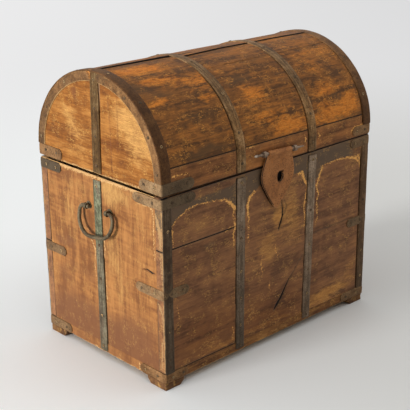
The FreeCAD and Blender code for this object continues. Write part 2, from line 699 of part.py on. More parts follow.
shanks = list(pieces["handle_eyes_left"].Solids) + list(pieces["handle_eyes_right"].Solids)
drill([name for name in pieces if "end_board" in name], shanks)
drill(["lid_rail_front"], list(pieces["hasp_eyes"].Solids))
BODY_WORDS = ("board", "strap", "brace")
LID_WORDS = ("lid_", "stave", "dome_band", "arch_band")
lid_side = [name for name in pieces if name.startswith(LID_WORDS)]
trunk_side = [name for name in pieces if name not in lid_side and any(w in name for w in BODY_WORDS)]
lid_nails.settle()
drill(trunk_side, trunk_nails.holes)
drill(lid_side, lid_nails.holes)
keep("trunk_nails", Part.Compound(trunk_nails.solids))
keep("lid_nails", Part.Compound(lid_nails.solids))

os.makedirs("parts", exist_ok=True)
for name, shape in pieces.items():
    if not shape.isValid():
        print("not valid:", name)
    shape.exportStep(f"parts/{name}.step")
print(len(pieces), "pieces")
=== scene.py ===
import functools
import math

import bmesh
import bpy
import numpy as np
from mathutils import Matrix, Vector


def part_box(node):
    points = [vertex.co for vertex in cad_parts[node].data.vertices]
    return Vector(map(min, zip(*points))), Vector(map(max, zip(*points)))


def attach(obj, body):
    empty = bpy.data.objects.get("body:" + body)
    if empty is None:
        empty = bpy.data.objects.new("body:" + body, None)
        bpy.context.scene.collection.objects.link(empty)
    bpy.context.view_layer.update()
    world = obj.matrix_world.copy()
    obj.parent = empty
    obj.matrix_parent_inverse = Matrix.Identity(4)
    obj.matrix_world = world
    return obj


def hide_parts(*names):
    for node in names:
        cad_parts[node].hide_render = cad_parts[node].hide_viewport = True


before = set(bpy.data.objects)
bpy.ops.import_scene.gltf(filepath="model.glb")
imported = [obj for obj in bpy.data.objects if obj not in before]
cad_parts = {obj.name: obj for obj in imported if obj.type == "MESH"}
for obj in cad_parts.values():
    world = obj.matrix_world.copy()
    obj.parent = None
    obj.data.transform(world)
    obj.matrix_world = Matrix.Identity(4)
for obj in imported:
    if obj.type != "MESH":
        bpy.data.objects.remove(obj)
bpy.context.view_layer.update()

# The looks of a dome top trunk: oiled, stained and chipped planks, and hammered flat iron, laid round
# the solids of the frame. Shapes are worked out in millimetres and built in metres.
# X runs along the front, Y from the front to the back, Z up.

MM = 0.001
ENDS = ((-1, "left"), (1, "right"))
DEPTHS = ((-1, "front"), (1, "back"))


def extent(node):
    """Lowest and highest corner of a solid of the frame, in millimetres."""
    low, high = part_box(node)
    return np.array(low) / MM, np.array(high) / MM


# ---- places, from the frame --------------------------------------------------------------------
BASE_LOW, BASE_HIGH = extent("bottom_board")
HALF_W, HALF_D, BASE_TOP = BASE_HIGH
FOOT_H = BASE_LOW[2]
FRONT_SEAM_LOW = extent("front_board_middle")[0][2]
FRONT_SEAM_HIGH = extent("front_board_upper")[0][2]
BACK_SEAM = extent("back_board_upper")[0][2]
BODY_TOP = extent("front_board_upper")[1][2]
END_SEAM = extent("left_end_board_back")[0][1]
INNER_D = extent("left_end_board_back")[1][1]
BOARD = HALF_D - INNER_D
LID_HALF = -extent("lid_rail_front")[0][1]
IRON = -HALF_D - extent("corner_strap_front_left")[0][1]

# ---- driving dimensions of the lid, as in the frame ----------------------------------------------
LID_SPRING = 24.4
SHOULDER_R = 150.0
TANGENT = math.radians(60.0)
RAIL_SEAM = 23.2
CROWN_SEAM = math.radians(23.2)
GAP_LEFT = 7.2
GAP_RIGHT = 0.8
RIM_Z = BODY_TOP + (GAP_LEFT + GAP_RIGHT) / 2
SAG = 3.2
ASKEW = math.atan((GAP_LEFT - GAP_RIGHT) / (2 * HALF_W))
SPRING_Z = BODY_TOP + LID_SPRING
SHOULDER_Y = LID_HALF - SHOULDER_R
CENTRES = SHOULDER_Y / math.sin(TANGENT)
CROWN_R = SHOULDER_R + CENTRES
CROWN_Z = SPRING_Z - CENTRES * math.cos(TANGENT)
S_TURN = CROWN_R * TANGENT
S_SPRING = S_TURN + SHOULDER_R * (math.pi / 2 - TANGENT)
S_CROWN_SEAM = CROWN_R * CROWN_SEAM
S_RAIL_SEAM = S_SPRING - SHOULDER_R * math.asin(RAIL_SEAM / SHOULDER_R)
S_RIM = S_SPRING + SPRING_Z - RIM_Z


def arch(s):
    """Point (y, z) and outward direction of the lid's outline. s runs from the crown to the back."""
    side = np.where(s < 0, -1.0, 1.0)
    run = np.abs(s)
    crown = run <= S_TURN
    turn = np.where(crown, run / CROWN_R, TANGENT + (run - S_TURN) / SHOULDER_R)
    turn = np.minimum(turn, math.pi / 2)
    radius = np.where(crown, CROWN_R, SHOULDER_R)
    y = np.where(crown, 0.0, SHOULDER_Y) + radius * np.sin(turn)
    z = np.where(crown, CROWN_Z, SPRING_Z) + radius * np.cos(turn) - np.maximum(run - S_SPRING, 0)
    return side * y, z, side * np.sin(turn), np.cos(turn)


def arch_height(y, inset):
    """Height of the lid's outline over y, at a distance inside it."""
    y = np.abs(y)
    crown_r = CROWN_R - inset
    shoulder_r = SHOULDER_R - inset
    crown = CROWN_Z + np.sqrt(np.maximum(crown_r ** 2 - y ** 2, 0))
    shoulder = SPRING_Z + np.sqrt(np.maximum(shoulder_r ** 2 - np.maximum(y - SHOULDER_Y, 0) ** 2, 0))
    return np.where(y <= crown_r * math.sin(TANGENT), crown, shoulder)


def settled(points, middle=(0, 0, RIM_Z)):
    """Turns what belongs to the lid, worked out level, by the little that the lid lies askew."""
    x, y, z = np.moveaxis(np.asarray(points, float) - middle, -1, 0)
    cos = math.cos(ASKEW)
    sin = math.sin(ASKEW)
    return np.stack([x * cos + z * sin, y, z * cos - x * sin], axis=-1) + middle


def settled_ways(ways):
    return settled(ways, (0, 0, 0))


def sag(x):
    """How much lower than level the worn lower edge of the lid hangs, from 0 at the right end."""
    return SAG * np.clip((HALF_W - x) / (2 * HALF_W), 0, 1)


# ---- noise ---------------------------------------------------------------------------------------
DRAW = np.random.default_rng(11)
SHUFFLE = np.tile(DRAW.permutation(256), 3)
SLOPES = DRAW.normal(size=(256, 3))
SLOPES /= np.linalg.norm(SLOPES, axis=1)[:, None]
SEED_SHIFT = 17.31            # cells between the noises of two seeds


def noise(points, size, seed=0):
    """Smooth noise from about -1 to 1. size is that of its lumps, one number or one for each axis."""
    at = points.reshape(-1, 3) / size + seed * SEED_SHIFT
    cell = np.floor(at).astype(int)
    part = at - cell
    fade = part ** 3 * (part * (part * 6 - 15) + 10)
    total = np.zeros(len(at))
    for corner in np.ndindex(2, 2, 2):
        key = (cell + corner) & 255
        pick = SHUFFLE[SHUFFLE[SHUFFLE[key[:, 0]] + key[:, 1]] + key[:, 2]]
        weight = np.prod(np.where(corner, fade, 1 - fade), axis=1)
        total += weight * np.sum(SLOPES[pick] * (part - corner), axis=1)
    return 1.6 * total.reshape(points.shape[:-1])


def smooth(value, low, high):
    part = np.clip((value - low) / (high - low), 0, 1)
    return part * part * (3 - 2 * part)


# ---- marks on the wood ---------------------------------------------------------------------------
# A mark is a line of (place along, place up, half width) on a face. On the walls and the lid's ends
# the places are across and over the body's top, and on the lid along the trunk and along the arch.
LOW_JOINT = FRONT_SEAM_LOW - BODY_TOP


def on_face(face, mark):
    """The points (x, y, z, half width) of a mark."""
    along, up, wide = np.array(mark, float).T
    level = 0 * along
    if face == "lid":
        y, z, _, _ = arch(up)
        spots = (along, y, z)
    elif face in ("front", "back"):
        spots = (along, level + (HALF_D if face == "back" else -HALF_D), BODY_TOP + up)
    else:
        spots = (level + (HALF_W if face == "right" else -HALF_W), along, BODY_TOP + up)
    spots = np.stack(spots, axis=-1)
    return np.column_stack([settled(spots) if face.startswith("lid") else spots, wide])


def along_arch(x, s_from, s_to, wide, narrow):
    """A line over the dome, wide at its start and narrow at its end."""
    share = np.linspace(0, 1, 24)
    return on_face("lid", np.stack([x + 0 * share, s_from + (s_to - s_from) * share,
                                    wide + (narrow - wide) * share], axis=-1))


# Where the dark finish has flaked off in narrow winding strips.
FLAKES = {
    "front": [
        [(-190, -31, .3), (-153, -34, .5), (-128, -39, 1.4), (-115, -48.5, 3.4), (-104, -60, 3.0),
         (-108, -75, 1.4), (-103, -94, 1.6), (-107, -113, 1.3), (-106, -133, .8)],
        [(-52, -42, 1.6), (-65, -51, 2.8), (-70, -65, 2.6), (-68, -86, 1.8), (-68, -111, 1.3),
         (-68, -140, .6)],
        [(-141, -36, .2), (-199, -30, .3), (-223, -34, .5), (-245, -44, .6), (-258, -55, 1.1),
         (-257, -66, 1.2), (-255, -84, .8), (-254, -98, .3)],
        [(66, -36, 1.2), (79, -36, 3.0), (88, -55, 2.8), (96, -70, 2.2), (93, -79, 1.4),
         (88, -102, 1.8), (86, -114, 1.2), (91, -128, 1.4), (90, -152, .7)],
        [(141, -36, 1.4), (131, -55, 2.6), (123, -74, 2.4), (129, -89, 1.5), (125, -109, 1.6),
         (128, -140, 1.2), (122, -155, .7)],
        [(145, -36, .8), (176, -34, 1.1), (197, -35, 1.2), (219, -37, 1.9), (239, -42, 2.6),
         (252, -40, 1.8)],
        [(236, -41, 1.6), (247, -48, 2.4), (258, -58, 1.4)],
        [(250, -38, 1.2), (256, -52, 2.0), (257, -66, 1.0)],
        [(-31, -178, .5), (-33, -196, .9), (-29, -214, .5)],
        [(-8, -238, .4), (-10, -252, .8), (-6, -262, .3)],
        [(7, -165, .4), (6, -178, .7), (12, -190, .3)],
        [(-109, -300, .5), (-106, -312, 1.0), (-110, -326, .5)],
        [(-249, -212, .4), (-246, -224, .8), (-245, -236, .3)],
        [(-128, -100, .5), (-114, -96, 1.2), (-108, -97, 1.2)],
    ],
    "left": [
        [(-112, -22, .9), (-138, -22, 1.2), (-150, -26, 1.6), (-153, -46, 1.2), (-152, -82, .8),
         (-155, -118, .5)],
        [(-158, -30, 1.4), (-163, -44, 3.2), (-168, -60, 4.2), (-170, -78, 3.0), (-169, -97, 1.8),
         (-171, -137, 1.0), (-175, -178, .9), (-176, -222, .7)],
        [(-157, -196, 1.0), (-166, -210, 2.4), (-171, -222, 1.6), (-174, -262, 1.4), (-168, -280, 2.0),
         (-166, -330, 1.4)],
        [(25, -132, 1.4), (17, -149, 1.8), (19, -166, .7), (20, -188, 1.0), (17, -205, .6),
         (14, -226, .4)],
        [(-11, -124, 1.4), (-12, -140, .9), (-10, -160, .6), (-12, -197, .8), (-12, -233, 1.0),
         (-10, -264, .6)],
        [(30, -354, 2.2), (16, -358, 1.6), (8, -361, .8)],
        [(-100, -341, 1.2), (-103, -352, 1.6), (-99, -358, .8)],
    ],
    "lid": [
        [(226, -282, .6), (224, -273, 1.1), (233, -266, 1.3), (254, -265, 1.0), (279, -265, .8)],
        [(123, -252, .5), (127, -262, 1.3), (126, -269, 1.2), (131, -277, .7)],
        [(84, -254, .5), (88, -261, 1.2), (86, -271, .8)],
        [(-74, -246, .6), (-62, -247, 2.0), (-50, -246, .8)],
        [(-256, -260, 1.2), (-236, -261, .8), (-219, -262, .4)],
    ],
    "lid_end": [
        [(-126, 4.5, 1.0), (-70, 4.2, .5)],
    ],
    "right": [
        [(150, -26, 1.4), (153, -46, 1.6), (152, -90, .8)],
        [(-11, -130, 1.4), (-13, -170, .9), (-12, -230, .6)],
        [(-158, -30, 1.4), (-166, -60, 2.6), (-170, -120, 1.6), (-172, -210, 1.2)],
    ],
    "back": [
        [(-112, -46, 1.2), (-122, -70, 2.2), (-118, -110, 1.4), (-122, -160, .6)],
        [(124, -50, 2.2), (132, -84, 1.6), (127, -130, .8)],
        [(214, -30, 1.0), (240, -38, 2.2), (252, -62, 1.2)],
    ],
}

# Cracks and gouges, dark and cut into the wood, and painted shadow lines, cut in the same way: along
# the left edges of the straps on the front, in front of the straps on the ends and by the hasp's left
# edge.
CRACKS_AND_SHADOW_LINES = {
    "front": [
        [(86, -209, .5), (66, -231, .8), (48, -249, 1.1), (36, -266, 1.7), (26, -281, 2.6),
         (14, -294, 3.2), (6, -303, 1.4)],
        [(22, -77, .8), (26, -96, 1.3), (26, -111, 1.6), (20, -125, 2.0), (15, -136, 1.2)],
        [(30, -80, .4), (37, -94, .6), (32, -106, .6), (24, -114, .5)],
        [(-280, -2, 2.8), (-270, -1.5, 2.2), (-262, -1, .6)],
        [(112, LOW_JOINT, .25), (180, LOW_JOINT, .2), (240, LOW_JOINT, .1)],
        # Painted shadow lines along the left edges of the front straps and of the right corner strap.
        [(-101.8, -350, 1.0), (-99.8, -180, .9), (-97.6, -6, 1.4)],
        [(87.4, -350, .9), (92.6, -180, .8), (97.8, -6, 1.2)],
        [(258.6, -338, .7), (258.6, -198, .5), (258.6, -28, .8)],
        # Painted shadow line along the hasp's left edge.
        [(-30, -3, .8), (-36, -14, 1.3), (-35, -31, 1.4), (-27, -45.5, 1.4), (-14, -65, 1.3),
         (-4, -79, 1.1)],
    ],
    "left": [
        [(-119, -146, .5), (-132, -143, 1.2), (-144, -146, 1.6), (-153, -145, .6)],
        [(-39, 184, .3), (-38, 139, .5), (-43, 87, .4), (-42, 20, .3)],
        [(-62, 159, .2), (-63, 111, .35), (-61, 60, .2)],
        [(158, -24, .5), (158.5, -120, .6), (158, -168, .4)],
        [(158, -194, .4), (158.6, -260, .5), (158, -334, .4)],
        [(-158, -196, .3), (-158, -262, .4), (-158, -334, .3)],
        # Painted shadow line in front of the end strap.
        [(-8.6, -344, .7), (-8.6, -200, .6), (-8.6, -120, 1.0), (-8.6, -8, 1.1)],
    ],
    "lid": [
        [(-96, -62, .3), (-98, -83, .9), (-96, -105, 1.1), (-92, -122, .6)],
        [(-30, -71, .4), (90, -72, .6), (180, -70, .5), (262, -66, .4)],
    ],
    "back": [
        [(-180, -96, .4), (-120, -102, .9), (-40, -99, .5)],
    ],
    "right": [
        [(60, -200, .4), (63, -250, .9), (60, -300, .4)],
        # Painted shadow line in front of the end strap.
        [(-8.6, -344, .6), (-8.6, -180, .4), (-8.6, -8, .8)],
    ],
    "lid_end": [
        # Painted shadow line in front of the strap up the lid's end.
        [(-12.6, 4, .7), (-12.6, 90, .9), (-12.6, 172, 1.6)],
    ],
}

FLAKED = [on_face(face, mark) for face, marks in FLAKES.items() for mark in marks]
CRACK_AND_SHADOW_MARKS = [on_face(face, mark) for face, marks in CRACKS_AND_SHADOW_LINES.items() for mark in marks]
# The same painted shadow lines along the left edges of the straps over the dome.
CRACK_AND_SHADOW_MARKS += [along_arch(-99.0, -S_RIM, -90, 1.3, .2), along_arch(95.0, -S_RIM, -40, 1.2, .3),
            along_arch(258.5, -262, -40, 1.0, .5)]
# Painted shade round the keyhole on the wood behind the hasp's hole, which makes the hole look deep.
KEYHOLE_SHADE = [on_face("front", [(11, -21, 6.5), (18, -33, 7.0)])]

# Softer patches, as (place along, place up, half size along, half size up, strength).
BRIGHT = {
    "lid": [
        (-60, 32, 230, 24, .35), (-208, -33, 60, 16, 1.4), (-129, -95, 50, 15, .8),
        (-214, -79, 50, 14, .9), (-240, -126, 28, 8, .9), (-126, -134, 30, 8, .7),
        (-92, -116, 22, 8, .5), (-20, -154, 34, 24, .9), (-20, -198, 40, 12, .6),
        (46, -224, 46, 17, 1.0), (166, -178, 42, 18, .8), (180, -228, 66, 20, 1.15),
        (232, -207, 30, 18, .8), (165, -120, 30, 12, .5), (178, -88, 60, 10, .4),
        (244, -98, 20, 14, .3), (-202, -174, 40, 12, .3), (120, 60, 80, 20, .6),
        (-150, 120, 60, 24, .7), (40, 170, 80, 18, .7), (200, 190, 40, 24, .8)],
    "front": [
        (165, -318, 60, 14, 1.0), (235, -286, 26, 24, .5), (-16, -172, 34, 40, .55),
        (12, -106, 18, 16, .35), (34, -96, 50, 50, .58), (60, -170, 30, 50, .3),
        (210, -91, 26, 18, .35), (-60, -330, 160, 9, .5), (150, -344, 110, 8, .6),
        (-200, -345, 60, 6, .4), (-170, -60, 40, 12, .2)],
    "left": [
        (-30, -24, 24, 30, .9), (-70, -20, 36, 16, .7), (-36, -130, 22, 50, .5), (64, -36, 40, 18, .4),
        (-115, -60, 20, 24, .4), (89, -86, 26, 20, .4), (-56, -200, 14, 60, .55),
        (-120, 93, 44, 50, 1.0), (-90, 126, 40, 26, .7), (167, -200, 7, 180, .6), (80, 103, 24, 24, .5),
        (56, 60, 34, 30, .6), (-60, -300, 60, 20, .2), (110, -120, 30, 30, .3)],
}
DULL = {
    "lid": [
        (-257, -87, 36, 24, .9), (-211, -110, 30, 12, .8), (-177, -170, 70, 20, .7),
        (-180, -233, 90, 10, 1.0), (-33, -120, 42, 12, 1.0), (192, -197, 34, 10, 1.0),
        (89, -139, 44, 12, .7), (-9, -204, 70, 8, .4), (60, -79, 34, 12, .5), (-150, -205, 40, 16, .5),
        (201, -239, 56, 5, .8), (241, -159, 24, 14, .5), (60, 110, 60, 14, .8), (-60, 200, 80, 12, .8),
        (180, 130, 50, 16, .8)],
    "front": [
        (-165, -118, 20, 12, .6), (-252, -128, 8, 20, .5), (30, -300, 30, 20, .4),
        (-20, -60, 30, 30, .4), (190, -150, 40, 20, .3), (-180, -230, 60, 30, .25),
        (-160, -180, 90, 24, .2)],
    "left": [
        (118, -158, 26, 16, .8), (88, -148, 20, 14, .7), (120, -226, 36, 22, .6),
        (40, -206, 26, 20, .5), (86, -200, 24, 14, .4), (-80, -124, 30, 22, .4), (56, 141, 12, 22, .9),
        (90, 62, 26, 10, .4), (0, -330, 190, 60, 1.4), (-110, -280, 60, 60, .5),
        (110, -300, 60, 60, .5), (-150, -340, 30, 20, .4), (125, 40, 16, 20, .4)],
}
# Where the wood of the front is darker but as brown as elsewhere.
DIM = {"front": [(-190, -290, 130, 70, .9), (10, -310, 90, 50, .9), (250, -10, 40, 30, .8)]}

# Lower edge of the grey band along the top of the front, as (x, height over the body's top).
BAND_EDGE = [(-280, -60), (-259, -55), (-245, -44), (-223, -34), (-199, -30), (-153, -34), (-128, -39),
             (-112, -50), (-98, -64), (-75, -62), (-68, -51), (-52, -42), (-35, -33), (30, -30), (60, -34),
             (79, -36), (90, -56), (118, -62), (131, -54), (141, -36), (176, -33), (219, -35), (240, -41),
             (262, -52), (280, -60)]
# Its upper edge: over it the wood is brown again.
BAND_TOP = [(-280, -22), (-112, -17), (-96, -5), (-40, -2), (280, -2)]

MARK_REACH = 10.0             # a mark's attribute fades from 1 to 0 over this distance, each side of 0.5
FAR_OFF = -99.0               # how far a point lies inside a mark that it isn't near


def nearest_mark(points, marks):
    """For each point how far it lies inside the nearest mark, negative outside, and the nearest point."""
    inside = np.full(len(points), FAR_OFF)
    foot = points.copy()
    low = points.min(axis=0) - MARK_REACH
    high = points.max(axis=0) + MARK_REACH
    for mark in marks:
        line = mark[:, :3]
        if (line.max(axis=0) < low).any() or (line.min(axis=0) > high).any():
            continue
        for a, b, wa, wb in zip(line[:-1], line[1:], mark[:-1, 3], mark[1:, 3]):
            run = b - a
            part = np.clip((points - a) @ run / (run @ run), 0, 1)
            near = a + part[:, None] * run
            depth = wa + (wb - wa) * part - np.linalg.norm(points - near, axis=1)
            closer = depth > inside
            inside[closer] = depth[closer]
            foot[closer] = near[closer]
    return inside, foot


def ragged(points):
    """The points moved a little, so that the marks found there get ragged edges."""
    return points + 1.1 * np.stack([noise(points, 8, 31 + k) for k in range(3)], axis=-1)


def flaked_at(points):
    """How far each point lies inside a flaked strip with a ragged edge."""
    return nearest_mark(ragged(points), FLAKED)[0]


def as_attribute(inside):
    return np.clip(0.5 + inside / (2 * MARK_REACH), 0, 1)


def patches(table, face, along, up, points, seed):
    """Soft patches of a face, with edges that wander."""
    wander_a = 16 * noise(points, 34, seed) + 6 * noise(points, 13, seed + 1)
    wander_b = 8 * noise(points, (50, 26, 26), seed + 2) + 4 * noise(points, 11, seed + 3)
    total = np.zeros(along.shape)
    for a, b, half_a, half_b, strength in table.get(face, []):
        far = ((along + wander_a - a) / half_a) ** 2 + ((up + wander_b - b) / half_b) ** 2
        total += strength * np.exp(-far)
    return np.clip(total, 0, 1.5)


# ---- meshes --------------------------------------------------------------------------------------
def placed(name, data):
    """A new object in the scene."""
    made = bpy.data.objects.new(name, data)
    bpy.context.scene.collection.objects.link(made)
    return made


def claimed(piece, body, slot, *nodes):
    """Puts a piece on the body that it rides on and hides the nodes that it replaces. slot is not used."""
    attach(piece, body)
    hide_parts(*nodes)
    return piece


def set_values(mesh, name, values):
    mesh.attributes.new(name, "FLOAT", "POINT").data.foreach_set("value", values)


def apply_modifiers(piece):
    bpy.context.view_layer.update()
    graph = bpy.context.evaluated_depsgraph_get()
    mesh = bpy.data.meshes.new_from_object(piece.evaluated_get(graph), depsgraph=graph)
    piece.modifiers.clear()
    piece.data = mesh
    return mesh


SHARP = math.radians(46)       # edges bent more than this stay sharp


class Part:
    """Points and faces of one piece, gathered from one or more shells, with values at the points."""

    def __init__(self):
        self.points = []
        self.faces = []
        self.second = []
        self.values = {}
        self.count = 0

    def add(self, points, faces, second=(), **values):
        """Adds a shell. The faces in second come on top of faces and take the second material."""
        points = points.reshape(-1, 3)
        start = self.count
        self.points.append(points)
        self.faces += [[start + i for i in face] for face in [*faces, *second]]
        self.second += [0] * len(faces) + [1] * len(second)
        for key, value in values.items():
            self.values.setdefault(key, []).append((start, np.asarray(value, float).reshape(-1)))
        self.count += len(points)

    def build(self, name, body, slot, materials, *nodes):
        mesh = bpy.data.meshes.new(name)
        points = np.concatenate(self.points) * MM
        mesh.from_pydata(points.tolist(), [], self.faces)
        for material in materials:
            mesh.materials.append(material)
        if len(materials) > 1:
            mesh.polygons.foreach_set("material_index", self.second)
        for key, stretches in self.values.items():
            values = np.zeros(len(points), np.float32)
            for start, part in stretches:
                values[start:start + len(part)] = part
            set_values(mesh, key, values)
        work = bmesh.new()
        work.from_mesh(mesh)
        bmesh.ops.recalc_face_normals(work, faces=work.faces)
        work.to_mesh(mesh)
        work.free()
        mesh.shade_smooth()
        mesh.set_sharp_from_angle(angle=SHARP)
        return claimed(placed(name, mesh), body, slot, *nodes)


def numbered(rows, columns):
    return np.arange(rows * columns).reshape(rows, columns)


def grid_faces(rows, columns):
    """Quads of a grid of points, with the points numbered row by row."""
    first = numbered(rows, columns)
    quads = np.stack([first[:-1, :-1], first[1:, :-1], first[1:, 1:], first[:-1, 1:]], axis=-1)
    return quads.reshape(-1, 4).tolist()


def ring_faces(index):
    """Quads between rings of points, each row of index holding the numbers round one ring."""
    beside = np.roll(index, -1, axis=1)
    quads = np.stack([index[:-1], beside[:-1], beside[1:], index[1:]], axis=-1)
    return quads.reshape(-1, 4).tolist()


# Distances of the points from an end, where they lie close together.
FINE = np.array([0, 0.3, 0.7, 1.3, 2.1, 3.2, 4.6])


def spaced(low, high, step):
    """Places from low to high, closer together near both ends."""
    length = high - low
    if length < 4 * FINE[-1]:
        return np.linspace(low, high, max(4, int(length / 1.2)))
    count = max(2, round((length - 2 * FINE[-1]) / step) + 1)
    middle = np.linspace(FINE[-1], length - FINE[-1], count)
    return low + np.concatenate([FINE[:-1], middle, length - FINE[-2::-1]])


def unit(vectors):
    return vectors / np.maximum(np.linalg.norm(vectors, axis=-1, keepdims=True), 1e-9)


def runs(path):
    """Distance of each point of a path from its start."""
    return np.concatenate([[0], np.cumsum(np.linalg.norm(np.diff(path, axis=0), axis=1))])


def rounding(radius, distance):
    """How far a rounded edge lies under the face, at a distance from the edge."""
    inside = np.clip(radius - distance, 0, radius)
    return radius - np.sqrt(np.maximum(radius ** 2 - inside ** 2, 0))


# ---- boards --------------------------------------------------------------------------------------
def wall_place(face):
    """A function that turns (along, height over the wall, out of it) into a point of a wall."""
    def place(u, v, w):
        return np.stack([u, face * (HALF_D + w), v], axis=-1)
    return place


def end_place(side):
    def place(u, v, w):
        return np.stack([side * (HALF_W + w), u, v], axis=-1)
    return place


def lid_place(u, v, w):
    y, z, out_y, out_z = arch(v)
    return settled(np.stack([u, y + out_y * w, z + out_z * w], axis=-1))


def lid_end_place(side):
    level = end_place(side)
    return lambda u, v, w: settled(level(u, v, w))


def board_section(length, step, corner):
    """Up one side of a board, over its face and down the other side. Each row holds the place along,
    the height over the face, the outward direction and the distance to the nearer corner."""
    rows = [(0.0, -depth, -1.0, 0.0, depth) for depth in np.linspace(BOARD, corner, 8)[:-1]]
    for turn in np.radians((0, 30, 60, 90)):
        rows.append((corner - corner * math.cos(turn), corner * math.sin(turn) - corner,
                     -math.cos(turn), math.sin(turn), 0.0))
    face = spaced(corner, length - corner, step)[1:-1]
    middle = [(u, 0.0, 0.0, 1.0, min(u, length - u)) for u in face]
    far = [(length - u, w, -nu, nw, d) for u, w, nu, nw, d in reversed(rows)]
    return np.array(rows + middle + far)


def steady(value):
    """A function of the place along, from a function or a number."""
    return value if callable(value) else lambda u: np.full(np.shape(u), float(value))


def lengthwise(grain, long, narrow):
    """Size of lumps that are long along the grain."""
    size = np.full(3, float(narrow))
    size[grain] = long
    return size


def relief(points, grain, seed):
    """Unevenness of an old plank, longer along the grain."""
    dents = np.maximum(noise(points, 15, seed + 5) - 0.55, 0)
    return (0.28 * noise(points, 95, seed) + 0.22 * noise(points, lengthwise(grain, 120, 11), seed + 1)
            + 0.10 * noise(points, lengthwise(grain, 40, 3.4), seed + 2) - 1.3 * dents - 0.15)


def band_over(along, level, base):
    """Share of the grey band along the top of the front."""
    edge = np.interp(along, *np.transpose(BAND_EDGE)) + 2.5 * noise(base, 12, 3)
    rim = np.interp(along, *np.transpose(BAND_TOP)) + 2.5 * noise(base, 12, 4)
    band = smooth(level, edge - 2.0, edge + 2.0) * (1 - 0.7 * smooth(level, rim - 4.0, rim + 3.0))
    return band * (1 - 0.6 * smooth(along, 212, 240))


FLAKE_DEPTH = 0.25
CRACK_DEPTH = 3.0
CRACK_SLOPE = 1.2
SEAM_SEEN = 0.45              # a joint's edges rounded by more than this show as a dark line
SEAM_HALF = 0.75


def board(node, body, slot, materials, place, span, low, high, grain, face="", gaps=(.5, .5),
          corner=0.8, step=2.2, worn="", lip="", proud=0.0, seed=0, cutters=()):
    """One plank with worn edges. place turns (along, up, height over the face) into a point; low and
    high are its two long edges and gaps the rounding there, all numbers or functions of the place
    along. worn and lip name its edges with rubbed corners and the one at the trunk's mouth, and proud
    is how far its low edge has warped out."""
    rows = board_section(span[1] - span[0], step, corner)
    along = (span[0] + rows[:, 0])[:, None]
    clipped = np.clip(along, *span)
    bottom = steady(low)(clipped)
    top = steady(high)(clipped)
    tallest = float(np.max(top - bottom))
    up = bottom + (top - bottom) * spaced(0.0, tallest, step)[None, :] / tallest
    along, height, out_along, out_up, to_corner = (
        np.broadcast_to(column[:, None], up.shape) for column in (along[:, 0], *rows[:, 1:].T))
    base = place(along, up, height)
    out = unit(place(along + out_along, up, height + out_up) - base)
    flat = base.reshape(-1, 3)
    cracked, foot = nearest_mark(flat, CRACK_AND_SHADOW_MARKS)
    flaked = flaked_at(flat)
    edges = (("low", up - bottom, steady(gaps[0])(clipped)), ("high", top - up, steady(gaps[1])(clipped)))
    to_edge = {"low": up - bottom, "high": top - up, "side": to_corner}

    lift = relief(flat, grain, seed).reshape(up.shape)
    chips = np.maximum(noise(flat, 13, seed + 7).reshape(up.shape) - 0.25, 0)
    for name, distance, gap in edges:
        lift = lift - rounding(gap + (1.2 + 4.0 * chips if name in worn else 0.6 * chips), distance)
    lift = lift + proud * np.exp(-(to_edge["low"] / 22.0) ** 2)
    if "side" in worn:
        lift = lift - 2.2 * chips * np.exp(-(to_corner / 3.0) ** 2)
    lift = lift - FLAKE_DEPTH * smooth(flaked, -0.6, 0.6).reshape(up.shape)
    lift = lift - np.clip(CRACK_SLOPE * (cracked + 1.0), 0, CRACK_DEPTH).reshape(up.shape)
    width = cracked + np.linalg.norm(flat - foot, axis=1)
    pull = (0.7 * (1 - smooth(width, 0.8, 1.5)) * (cracked > -1.2)).reshape(up.shape)
    pull = (pull * (np.abs(out_along) < 0.1))[..., None]
    base = foot.reshape(base.shape) * pull + base * (1 - pull)
    points = base + out * (lift * smooth(BOARD + height, 0.0, 5.0))[..., None]

    wear = np.zeros(up.shape)
    # On a rim the wear reaches twice as far: pale raw wood that also stands in, as painted light, for the
    # low light catching the end boards' tops.
    reach = 16.0 if "rim" in worn else 8.0
    for name, distance in to_edge.items():
        if name in worn:
            wear = np.maximum(wear, np.clip(1.15 - distance / reach, 0, 1))
    dark = np.maximum(cracked, nearest_mark(ragged(flat), KEYHOLE_SHADE)[0]).reshape(up.shape)
    # Open joints show a dark line. Along the trunk's mouth (lip) it stays on the outer face, as painted
    # shadow of the gap under the lid.
    for name, distance, gap in edges:
        open_seam = (gap > SEAM_SEEN) & (name not in worn) & ((name != lip) | (height > -BOARD / 2))
        dark = np.maximum(dark, np.where(open_seam, np.maximum(gap, SEAM_HALF) - distance, FAR_OFF))
    rows_count, columns = up.shape
    faces = grid_faces(rows_count, columns)
    last = (rows_count - 1) * columns
    hidden = [[j, j + 1, last + j + 1, last + j] for j in range(columns - 1)]
    hidden.append([i * columns for i in range(rows_count)])
    top_rim = [i * columns + columns - 1 for i in range(rows_count)]
    if "rim" in worn:
        faces.append(top_rim)
        # The inner part of a rim's top is darkened: painted shadow of the lid over the gap.
        inner = np.where(to_edge["high"] < 0.01, -height / BOARD, 0)
        dark = np.maximum(dark, np.where(inner > 0, 2 * MARK_REACH * (0.72 * inner - 0.5), FAR_OFF))
    else:
        hidden.append(top_rim)

    level = up - BODY_TOP if face != "lid" else up
    grime = patches(DULL, face, along, level, base, seed + 20)
    if face == "front":
        band = band_over(along, level, base)
        grime = grime * (1 - band) + 1.3 * band
    part = Part()
    part.add(points, faces, hidden, flaked=as_attribute(flaked), cracked=as_attribute(dark),
             turned=np.abs(out_along), worn=wear, grime=grime,
             dim=patches(DIM, face, along, level, base, seed + 60),
             bright=patches(BRIGHT, face, along, level, base, seed + 40))
    piece = part.build(f"{node}_plank", body, slot, materials, node)
    for cutter_low, cutter_high in cutters:
        carve(piece, cutter_low, cutter_high)


